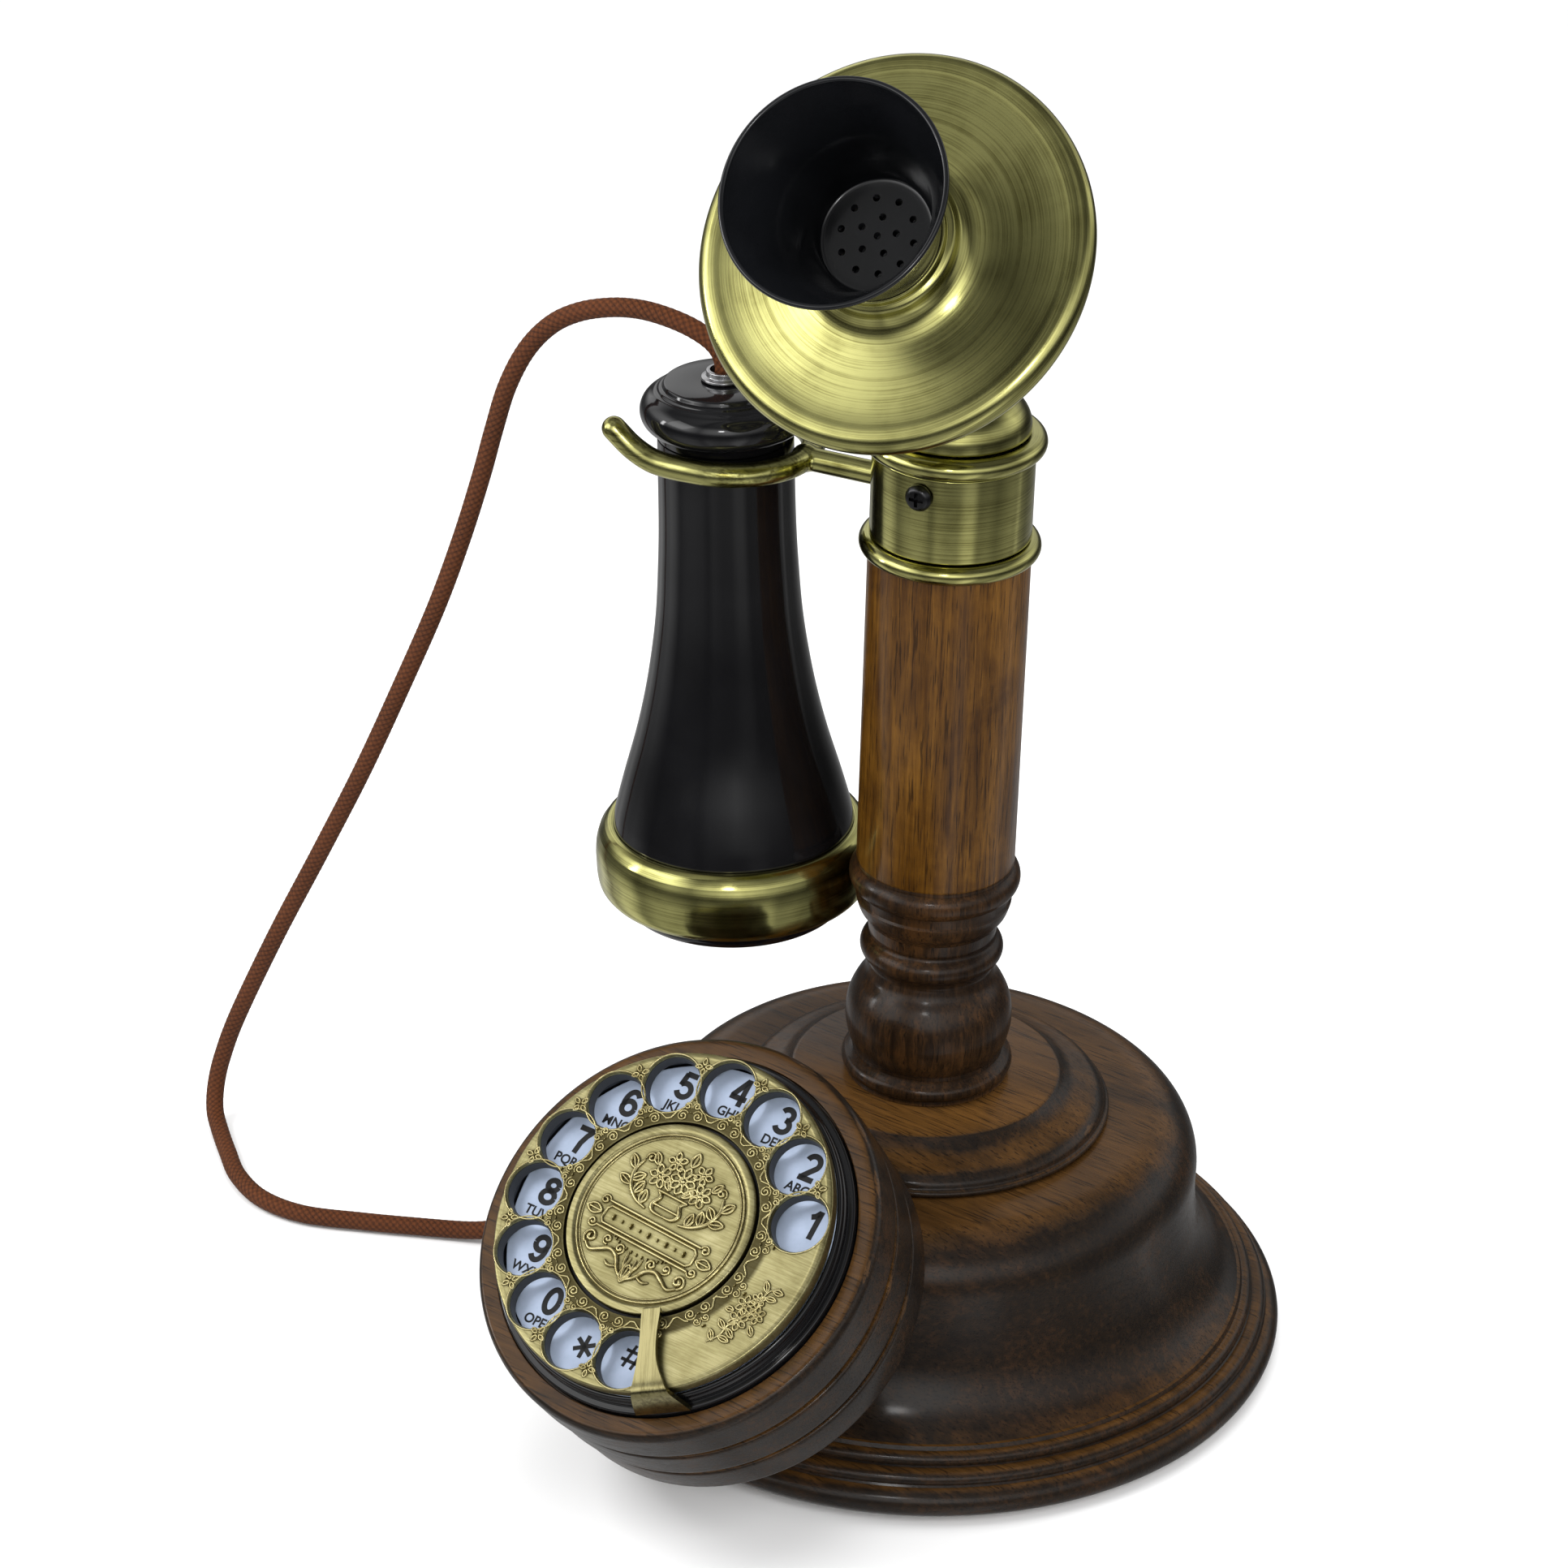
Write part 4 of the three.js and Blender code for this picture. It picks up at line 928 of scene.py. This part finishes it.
# ------------------------------------------------------------------ receiver
def make_receiver():
    shell = [
        (25.8, -8), (25.8, 6.9), (27.0, 7.0),
        *curve([(27.1, 7.3), (26.3, 11), (24.4, 18.2), (21.4, 28.8), (19.1, 38.8), (17.4, 48.6), (16.2, 58),
                (15.5, 68), (15, 80), (14.8, 100)]),
        (13.2, 100), (13.6, 72), (15.6, 49), (19.7, 29), (24.2, 11), (24.2, -8),
    ]
    turned("receiver_shell", shell, RECEIVER, "black_gloss", "receiver_shell", sides=176)

    cap = rounded([
        (3.1, 100.3), (14.8, 100.3, 0.2), (14.8, 102.0, 0.3),
        *arc(13.9, 106.2, 4.5, -70, 66, 20),
        (15.2, 110.8, 0.3), (14.5, 110.9, 0.3), (14.2, 111.5, 0.3), (13.4, 111.6, 0.2), (13.1, 112.6, 0.4),
        (9, 112.8), (3.1, 112.8, 0.3),
    ], 3)
    turned("receiver_cap", cap, RECEIVER, "black_gloss", "receiver_cap")

    band = [
        *rounded([(26.1, -9.2), (28.0, -9.2, 0.3), (29.4, -8.8)]),
        *curve([(29.8, -8.6), (30.7, -7.3), (31.1, -5.2), (31.2, -2.6), (31.25, -0.2), (31.0, 2.3),
                (30.3, 4.6)]),
        *rounded([(29.4, 6.1, 0.5), (28.2, 6.95, 0.4), (27.3, 7.0, 0.2), (26.1, 6.7)]),
    ]
    turned("receiver_band", band, RECEIVER, "spun_brass", "receiver_band", sides=176)

    ear = rounded([(0, -8.4), (26.0, -8.4, 0.2), (26.0, -11.4, 0.8), (25.0, -13.0, 0.9), (22.6, -13.8, 0.8),
                   (20.6, -13.8, 0.6), (17, -12.5, 0.8), (0, -11.8)])
    turned("earpiece", ear, RECEIVER, "black_gloss", "earpiece", sides=144, cuts=[
        pin_tool(1.2, (x, y, -16), (x, y, -4), RECEIVER, 20) for x, y in [(0, 0), *spots_round(6.5, 6)]
    ])

    clip = rounded([(3.1, 113.1), (5, 113.1, 0.15), (5, 113.7, 0.2), (3.9, 113.9, 0.2), (3.9, 115.2, 0.3),
                    (3.1, 115.2)])
    turned("cord_clip", clip, RECEIVER, "steel", "cord_clip", sides=64)


# ------------------------------------------------------------------ dial
WHEEL_R = 38.2
WHEEL_THICK = 3.2
HOLE_R = 6.4
HOLE_COUNT = 12
HOLE_STEP = math.radians(24.11)
HOLE_START = math.radians(20.3)
HOLES = [HOLE_START + HOLE_STEP * i for i in range(HOLE_COUNT)]
HOLE_CIRCLE = 31.16
HOLE_SPOTS = [(HOLE_CIRCLE * math.cos(a), HOLE_CIRCLE * math.sin(a)) for a in HOLES]
POD_R = 45.7
POD_MIDDLE_R = 45.2
POD_REAR_R = 44.6
POD_FACE = -8.2
POD_BACK = -41.3
GROOVES = {"front": -20, "rear": -31.6}
CARD_Z = -5.6
LEDGE_Z = -6.9
STOP_ANGLE = math.radians(-62)
SCROLL_COUNT = 15
SCROLL_CIRCLE = 24.4
FLOWER_CIRCLE = 35.0
ON_WHEEL = {"body": "finger_wheel", "slot": "dial_brass"}


def to_mesh(data, name):
    """The mesh of a curve or text, with the curve removed."""
    temporary = make_object("tool", data)
    mesh = evaluated_mesh(temporary)
    mesh.name = name
    bpy.data.objects.remove(temporary, do_unlink=True)
    bpy.data.curves.remove(data)
    return mesh


def wires(name, lines, height, stout=1.0):
    """Thin round wires half sunk in the dial's front. A line is a list of (x, y, radius)."""
    data = bpy.data.curves.new(name, "CURVE")
    data.dimensions = "3D"
    data.bevel_depth = MM
    data.bevel_resolution = 2
    data.use_fill_caps = True
    for line in lines:
        spline = data.splines.new("POLY")
        spline.points.add(len(line) - 1)
        for point, (x, y, radius) in zip(spline.points, line):
            point.co = (x * MM, y * MM, height * MM, 1)
            point.radius = radius * stout
    mesh = to_mesh(data, name)
    smooth(mesh, 60)
    finish_piece(make_object(name, mesh, DIAL), "relief_brass", **ON_WHEEL)


def line(wire, *points):
    return [(x, y, wire) for x, y in points]


def spiral(x, y, start, turns, size, wire, steps=22):
    """A scroll that winds in to (x, y) from size away; start in degrees."""
    out = []
    for i in range(steps + 1):
        t = i / steps
        a = math.radians(start) + turns * 2 * math.pi * t
        r = size * (1 - 0.86 * t)
        out.append((x + r * math.cos(a), y + r * math.sin(a), wire * (0.75 + 0.5 * t)))
    return out


def leaf(x, y, heading, length, width, wire, steps=9):
    """A pointed leaf's outline and its middle vein."""
    ahead = Vector((math.cos(heading), math.sin(heading)))
    side = Vector((-ahead.y, ahead.x))
    foot = Vector((x, y))
    edges = []
    for sign in (-width, width):
        points = [foot + ahead * (length * i / steps) + side * (sign * math.sin(math.pi * i / steps) ** 0.8)
                  for i in range(steps + 1)]
        edges.append(line(wire, *points))
    return [*edges, line(wire * 0.8, *[foot + ahead * (length * t) for t in (0.1, 0.5, 0.85)])]


def around(angle, r, lines):
    """Lines drawn with +X outward, turned to an angle and moved out to radius r."""
    c, s = math.cos(angle), math.sin(angle)
    return [[((x + r) * c - y * s, (x + r) * s + y * c, w) for x, y, w in points] for points in lines]


def dot(x, y, radius):
    return line(radius, (x - radius * 0.1, y), (x + radius * 0.1, y))


def small_flower(size, wire):
    """Four petals round a bud, with dots between."""
    lines = [dot(0, 0, wire * 1.2)]
    between = size * 0.6 * math.cos(math.pi / 4)
    for k in range(4):
        lines += leaf(size * 0.2, 0, 0, size * 0.85, size * 0.24, wire)[:2]
        lines.append(dot(between, between, wire * 1.4))
        lines = [[(-y, x, w) for x, y, w in points] for points in lines]
    return lines


def wheel_relief():
    """Scrollwork inside the ring of holes, and a small flower between each two holes."""
    wire = 0.17
    scrolls = [dot(2.9, 0, 0.42), dot(-0.2, 0, 0.3)]
    for s in (1, -1):
        scrolls += [
            spiral(-0.9, 1.75 * s, -60 * s, 1.7 * s, 1.35, wire),
            spiral(1.35, 1.05 * s, -120 * s, 1.5 * s, 0.95, wire),
            line(wire, (0.3, 2.6 * s), (-0.1, 3.3 * s), (-0.9, 3.8 * s), (-1.7, 4.3 * s), (-1.9, 5 * s)),
        ]
    lines = []
    for number in range(SCROLL_COUNT):
        lines += around(HOLE_START + HOLE_STEP * (number - 1.5), SCROLL_CIRCLE, scrolls)
    for angle in HOLES[:-1]:
        lines += around(angle + HOLE_STEP / 2, FLOWER_CIRCLE, small_flower(1.9, wire))
    return lines


def flower(x, y, size, wire, petals=6):
    lines = [spiral(x, y, 0, 1, size * 0.3, wire, 10)]
    for k in range(petals):
        a = 2 * math.pi * k / petals
        foot = x + 0.25 * size * math.cos(a), y + 0.25 * size * math.sin(a)
        lines += leaf(*foot, a, size * 0.8, size * 0.27, wire)[:2]
    return lines


def spray():
    """A flower spray in the wheel's blank part."""
    wire = 0.19
    stem = [(-2.6, -9.4), (-1.6, -6.6), (-1.9, -3.6), (-0.8, 0.2), (-0.3, 3.6), (-1.3, 6.6), (0.1, 9.2)]
    lines = [tapered(stem, wire)]
    for x, y, size in ((-1.2, -1.6, 2.2), (-2.6, 1.6, 2.1), (0.9, 1.9, 1.9), (-1.4, 4.3, 1.6)):
        lines += flower(x, y, size, wire)
    leaves = ((-1.9, -8.4, 2.6, 2.6), (-1.6, -6.8, 0.3, 2.8), (-1.9, -4.9, 2.9, 2.6), (-1.5, -4.4, -0.2, 2.6),
              (-0.7, 5.6, 0.5, 2.6), (-1.4, 6.6, 2.5, 2.6), (-0.6, 7.8, 0.4, 2.4), (1.6, -0.6, -0.5, 2.4),
              (-3.6, -0.9, -2.7, 2.0))
    for x, y, heading, length in leaves:
        lines += leaf(x, y, heading, length, 0.6, wire)
    return around(math.radians(-22), 31.9, lines)


def tapered(points, wire, steps=6):
    """A smooth flat line that thins towards its ends."""
    path = curve(points, steps)
    last = len(path) - 1
    return [(x, y, wire * (0.7 + 0.6 * math.sin(math.pi * i / last))) for i, (x, y) in enumerate(path)]


def circle(radius, wire, x=0, y=0, steps=96):
    return line(wire, *arc(x, y, radius, 0, 360, steps))


def medal_relief():
    """A vase of flowers over a blank ribbon, with acanthus scrolls below, inside a thin ring."""
    wire = 0.24
    stout = 0.3
    half = [
        tapered([(0.4, -15.2), (2.4, -13.6), (4.0, -11.4), (6.2, -10.6), (8.4, -11.6), (10.6, -12.6),
                 (12.4, -11.6)], 0.34),
        spiral(12.0, -10.1, -70, 1.4, 1.7, stout),
        tapered([(2.6, -13.2), (4.6, -13.8), (6.0, -13.2)], wire),
        spiral(4.3, -9.6, -90, -1.4, 1.3, wire),
        spiral(8.0, -9.0, -110, 1.3, 1.2, wire),
        tapered([(0.6, -14.0), (1.6, -11.6), (1.9, -9.4)], wire),
        tapered([(0.0, -15.6), (0.9, -12.8), (0.7, -10.2)], wire),
        line(wire, (0, -2.4), (11.4, -2.4)),
        line(wire, (0, -6.4), (11.4, -6.4)),
        line(wire, (11.4, -2.4), (12.2, -3.2), (12.2, -5.6), (11.4, -6.4)),
        line(stout, (0, -1.5), (12.4, -1.5)),
        line(stout, (0, -7.3), (12.4, -7.3)),
        spiral(13.6, -1.7, 170, -1.4, 1.2, wire),
        spiral(13.6, -7.1, 190, 1.4, 1.2, wire),
        tapered([(0, 0.4), (2.6, 0.6), (3.6, 2.0), (2.6, 4.0), (3.9, 5.2)], stout),
        line(stout, (0, 5.2), (3.9, 5.2)),
        line(wire, (0, 2.2), (3.3, 2.2)),
        tapered([(4.6, 0.4), (7.6, 1.2), (10.4, 3.4), (11.6, 6.6), (10.8, 9.6)], stout),
        spiral(9.6, 10.6, -30, 1.4, 1.3, wire),
        *flower(5.4, 8.0, 2.6, wire),
        *flower(3.6, 12.2, 2.2, wire, 5),
    ]
    leaves = ((13.0, -4.4, 0, 3.8, 1.1), (6.2, 0.9, 1.5, 3.2, 0.9), (9.0, 2.2, 1.9, 3.4, 0.9),
              (11.2, 4.6, 2.4, 3.4, 0.9), (10.6, 3.6, 0.3, 3.6, 0.9), (11.7, 7.0, 0.9, 3.4, 0.9),
              (1.8, 6.0, 0.9, 2.8, 0.7), (7.4, 9.9, 1.0, 2.8, 0.8))
    for size in leaves:
        half += leaf(*size, wire)
    lines = [circle(18.9, 0.2), circle(18.2, 0.1), *half]
    lines += [[(-x, y, w) for x, y, w in points] for points in half]
    lines += flower(0, 9.2, 3.0, wire, 8)
    lines += leaf(0, 12.6, math.pi / 2, 3.4, 1.0, wire)
    lines += leaf(0, -15.8, math.pi / 2, 4.2, 1.1, wire)
    lines += [dot(x, y, 0.32) for x, y in oval(0, -6.6, 7.4, 2.6, -158, -22, 12)]
    lines += [dot(-9.6 + 2.4 * k, -4.4, 0.34 if k % 2 else 0.55) for k in range(9)]
    return around(math.radians(-4), 0, lines)


def make_wheel():
    edge = rounded([
        (22.1, -WHEEL_THICK), (WHEEL_R, -WHEEL_THICK, 0.6), (WHEEL_R, -0.05, 0.55), (37.0, 0.05, 0.3),
        (36.7, 0, 0.2), (22.1, 0, 0.15),
    ])
    punch = [(0, -4), (HOLE_R, -4), (HOLE_R, -0.5), (HOLE_R + 0.1, -0.22), (HOLE_R + 0.3, 0.02),
             (HOLE_R + 0.3, 1), (0, 1)]
    wall = [(HOLE_R - 0.12, -3.5), (HOLE_R + 0.02, -3.5), (HOLE_R + 0.02, -0.75), (HOLE_R - 0.12, -0.75)]
    punches, walls = ([turned_object("tool", outline, DIAL @ place(x, y, 0), 72) for x, y in HOLE_SPOTS]
                      for outline in (punch, wall))
    turned("finger_wheel", edge, DIAL, "wheel_brass", "finger_wheel", sides=256, cuts=punches)
    finish_piece(joined("hole_walls", walls, DIAL), "black_matte", **ON_WHEEL)
    web = rounded([(0, -3.15), (22.6, -3.15, 0.1), (22.6, -1.75, 0.1), (0, -1.75)])
    turned("wheel_web", web, DIAL, "black_matte", sides=96, **ON_WHEEL)
    wires("wheel_relief", [*wheel_relief(), *spray()], 0.05, 1.3)
    wires("hole_rims", [circle(HOLE_R + 0.45, 0.2, x, y, 72) for x, y in HOLE_SPOTS], -0.02)

    medal = rounded([(0, -1.4), (21.4, -1.4, 0.2), (21.4, 0.5, 0.4), (19.9, 0.62, 0.4), (19.3, 0.3, 0.2),
                     (0, 0.3)])
    turned("wheel_medallion", medal, DIAL, "medal_brass", "wheel_medallion", sides=176)
    wires("medallion_relief", medal_relief(), 0.38, 1.3)


# Strokes of the dial's figures, in tenths of their height.
SIX = [oval(3.6, 5.2, 2.5, 3.9, 38, 205), oval(3.5, 3.3, 2.35, 2.35, 0, 360)]
FIGURE_STROKES = {
    "1": [[(1.5, 7.1), (2.9, 7.8), (4.2, 9.6)], [(4.3, 0), (4.3, 10)]],
    "2": [[*oval(3.5, 6.75, 2.4, 2.35, 168, -38), (3.4, 3.2), (1.4, 1.0)], [(0.5, 0.95), (6.2, 0.95)]],
    "3": [oval(3.2, 7.1, 2.15, 1.95, 160, -85), oval(3.2, 3.15, 2.5, 2.2, 88, -162)],
    "4": [[(4.6, 9.6), (0.9, 3.1)], [(0.2, 2.9), (6.5, 2.9)], [(4.7, 0), (4.7, 10)]],
    "5": [[(5.9, 9.05), (1.6, 9.05)], [(2.0, 9.2), (1.35, 4.7)], oval(3.25, 3.4, 2.55, 2.45, 142, -160)],
    "6": SIX,
    "7": [[(0.5, 9.05), (6.2, 9.05)], [(6.0, 9.2), (4.4, 6.8), (3.3, 4.0), (2.8, 0)]],
    "8": [oval(3.5, 7.25, 2.05, 1.8, 0, 360), oval(3.5, 3.05, 2.5, 2.15, 0, 360)],
    "9": [[(7.1 - x, 10 - y) for x, y in stroke] for stroke in SIX],
    "0": [oval(3.5, 5, 2.4, 4.05, 0, 360, 32)],
    "*": [[(3.5, 1.0), (3.5, 9.0)], [(0.1, 3.0), (6.9, 7.0)], [(0.1, 7.0), (6.9, 3.0)]],
    "#": [[(1.4, 1.0), (2.7, 9.0)], [(4.5, 1.0), (5.8, 9.0)], [(0.0, 6.6), (7.2, 6.6)],
          [(-0.4, 3.4), (6.8, 3.4)]],
}
FIGURES = "1234567890*#"
LETTERS = ("", "ABC", "DEF", "GHI", "JKL", "MNO", "PQRS", "TUV", "WXY", "OPER", "", "")
FIGURE_SCALE = 0.65 * MM
STROKE_WIDTH = 1.95
FIGURE_SHIFT = (0.3, 2.0)         # from the hole's middle, in millimetres
MARK_WIDTH = {"*": 1.5, "#": 1.1}
MARK_SHIFT = {"*": (0.3, 0.6), "#": (-1.1, 2.0)}


def ribbons(strokes, width, low, high):
    """Flat solid strips of even width along lines, with square ends."""
    bm = bmesh.new()
    for stroke in strokes:
        points = [Vector(p) for p in stroke]
        rows = []
        for i, point in enumerate(points):
            before = point - points[i - 1] if i else points[1] - point
            after = points[i + 1] - point if i < len(points) - 1 else before
            ahead = (before.normalized() + after.normalized()).normalized()
            side = Vector((-ahead.y, ahead.x)) * (width / 2 / max(ahead.dot(after.normalized()), 0.5))
            corners = [(point + side, low), (point - side, low), (point - side, high), (point + side, high)]
            rows.append([bm.verts.new((p.x, p.y, z)) for p, z in corners])
        for a, b in zip(rows, rows[1:]):
            for k in range(4):
                bm.faces.new((a[k], a[(k + 1) % 4], b[(k + 1) % 4], b[k]))
        bm.faces.new(rows[0][::-1])
        bm.faces.new(rows[-1])
    bmesh.ops.recalc_face_normals(bm, faces=bm.faces)
    return mesh_of(bm, "tool")


def figure(text, x, y):
    strokes = [[((px - 3.5) * FIGURE_SCALE, (py - 5) * FIGURE_SCALE) for px, py in stroke]
               for stroke in FIGURE_STROKES[text]]
    across, up = MARK_SHIFT.get(text, FIGURE_SHIFT)
    mesh = ribbons(strokes, MARK_WIDTH.get(text, STROKE_WIDTH) * FIGURE_SCALE, 0, 0.04 * MM)
    return make_object("tool", mesh, DIAL @ place(x + across, y + up, CARD_Z + 0.02))


def lettering(text, x, y):
    data = bpy.data.curves.new("lettering", "FONT")
    data.body = text
    data.size = 3.0 * MM
    data.align_x = data.align_y = "CENTER"
    data.extrude = 0.02 * MM
    data.offset = 0.07 * MM
    data.resolution_u = 4
    return make_object("tool", to_mesh(data, "tool"), DIAL @ place(x - 0.3, y - 3.3, CARD_Z + 0.03))


def make_card():
    outline = rounded([(5, CARD_Z - 1), (37.6, CARD_Z - 1, 0.2), (37.6, CARD_Z, 0.2), (5, CARD_Z)])
    turned("number_plate", outline, DIAL, "dial_card", "number_plate")
    printed = []
    for (x, y), number, letters in zip(HOLE_SPOTS, FIGURES, LETTERS):
        printed.append(figure(number, x, y))
        if letters:
            printed.append(lettering(letters, x, y))
    finish_piece(joined("dial_print", printed, DIAL), "ink", body="base", slot="dial_card")


def make_stop():
    """The finger stop: a strip that lies over the wheel, folds over its rim and stands on the bezel."""
    rows = [                      # distance from the dial's axis, height, and the strip's two edges
        (20.6, 2.3, -1.3, 1.3), (20.8, 2.42, -1.95, 1.95), (21.8, 2.45, -2.15, 2.1), (25, 2.45, -2.15, 1.6),
        (29, 2.45, -2.2, 1.35), (33, 2.42, -2.6, 1.7), (36.0, 2.4, -3.1, 2.9), (38.0, 2.3, -3.5, 3.7),
        (39.1, 1.9, -3.7, 4.1), (39.7, 1.0, -4.0, 4.4), (39.95, -0.8, -4.5, 4.9), (40.2, -2.8, -5.0, 5.4),
        (40.45, -4.8, -5.5, 6.0), (40.65, -6.5, -5.8, 6.4),
    ]
    across = 8
    bm = bmesh.new()
    grid = []
    for r, z, low, high in rows:
        steps = [low + (high - low) * k / across for k in range(across + 1)]
        grid.append([bm.verts.new((r * MM, y * MM, z * MM)) for y in steps])
    for a, b in zip(grid, grid[1:]):
        for k in range(across):
            bm.faces.new((a[k], b[k], b[k + 1], a[k + 1]))
    bmesh.ops.recalc_face_normals(bm, faces=bm.faces)
    turn = Matrix.Rotation(STOP_ANGLE, 4, "Z")
    stop = make_object("finger_stop", mesh_of(bm, "finger_stop"), DIAL @ turn)
    up = stop.data.polygons[0].normal.z > 0
    thick = stop.modifiers.new("thick", "SOLIDIFY")
    thick.thickness = 1.1 * MM
    thick.offset = -1 if up else 1
    bevel = stop.modifiers.new("bevel", "BEVEL")
    bevel.width = 0.3 * MM
    bevel.segments = 2
    bevel.limit_method = "ANGLE"
    bevel.angle_limit = math.radians(50)
    subdivide = stop.modifiers.new("subdivide", "SUBSURF")
    subdivide.levels = subdivide.render_levels = 2
    bake(stop)
    smooth(stop.data, 60)
    finish_piece(stop, "stop_brass", "finger_stop")


def make_pod():
    def groove(z, below, above):
        floor = below - 2.2
        return [
            (below, z - 2.6), (below, z - 1.3, 0.8), (floor, z - 0.9, 0.2), (floor, z + 0.9, 0.2),
            (above, z + 1.3, 0.8), (above, z + 2.6),
        ]

    outline = rounded([
        (3, POD_BACK), (POD_REAR_R, POD_BACK, 1.1),
        *groove(GROOVES["rear"], POD_REAR_R, POD_MIDDLE_R), *groove(GROOVES["front"], POD_MIDDLE_R, POD_R),
        (POD_R, -11.5), (POD_R, -9.6, 1.1), (POD_R - 1.0, POD_FACE, 0.9), (POD_R - 2.6, POD_FACE),
        (41.8, POD_FACE), (40.9, POD_FACE, 0.3), (40.9, -10.3), (36.5, -10.3), (36.5, -35), (3, -35),
    ])
    pod = turned("dial_pod", outline, DIAL, "walnut", "dial_pod", sides=192)
    restyle(pod, "bare_walnut", lambda centre: centre.z < (POD_BACK + 0.01) * MM)
    # Painted shade, with dirt: a dark ring with no shine fills each groove, for the shade of the deep groove
    # and the dirt in it.
    inside, outside = POD_REAR_R - 3, POD_REAR_R - 0.7
    for name, z in GROOVES.items():
        ring = [(inside, z - 0.97), (outside, z - 0.97), (outside, z + 0.97), (inside, z + 0.97)]
        turned("pod_groove_shade_" + name, ring, DIAL, "groove_shade_and_dirt", body="base", slot="walnut", sides=192)

    bezel = rounded([
        (37.9, -10), (40.6, -10), (40.6, -7.2, 0.4), (40.2, LEDGE_Z, 0.3), (39.2, LEDGE_Z, 0.15),
        (39.2, -5.7, 0.5), (38.9, -5.2, 0.2), (38.9, -4.2, 0.5), (38.5, -3.7, 0.3), (37.9, -3.7, 0.2),
    ])
    turned("dial_bezel", bezel, DIAL, "black_gloss", "dial_bezel", sides=192)


def dress_frame():
    """Every CAD node that still shows, or lies inside, gets its slot's material."""
    for name, obj in frame["nodes"].items():
        if not obj.hide_render:
            obj.data.materials.clear()
            obj.data.materials.append(STYLE[SLOT_OF[name]])


for make in (make_camera, make_cord, make_world, make_floor, make_lamps, make_base, make_column, make_head,
             make_hook, make_transmitter, make_receiver, make_wheel, make_card, make_stop, make_pod,
             dress_frame):
    make()
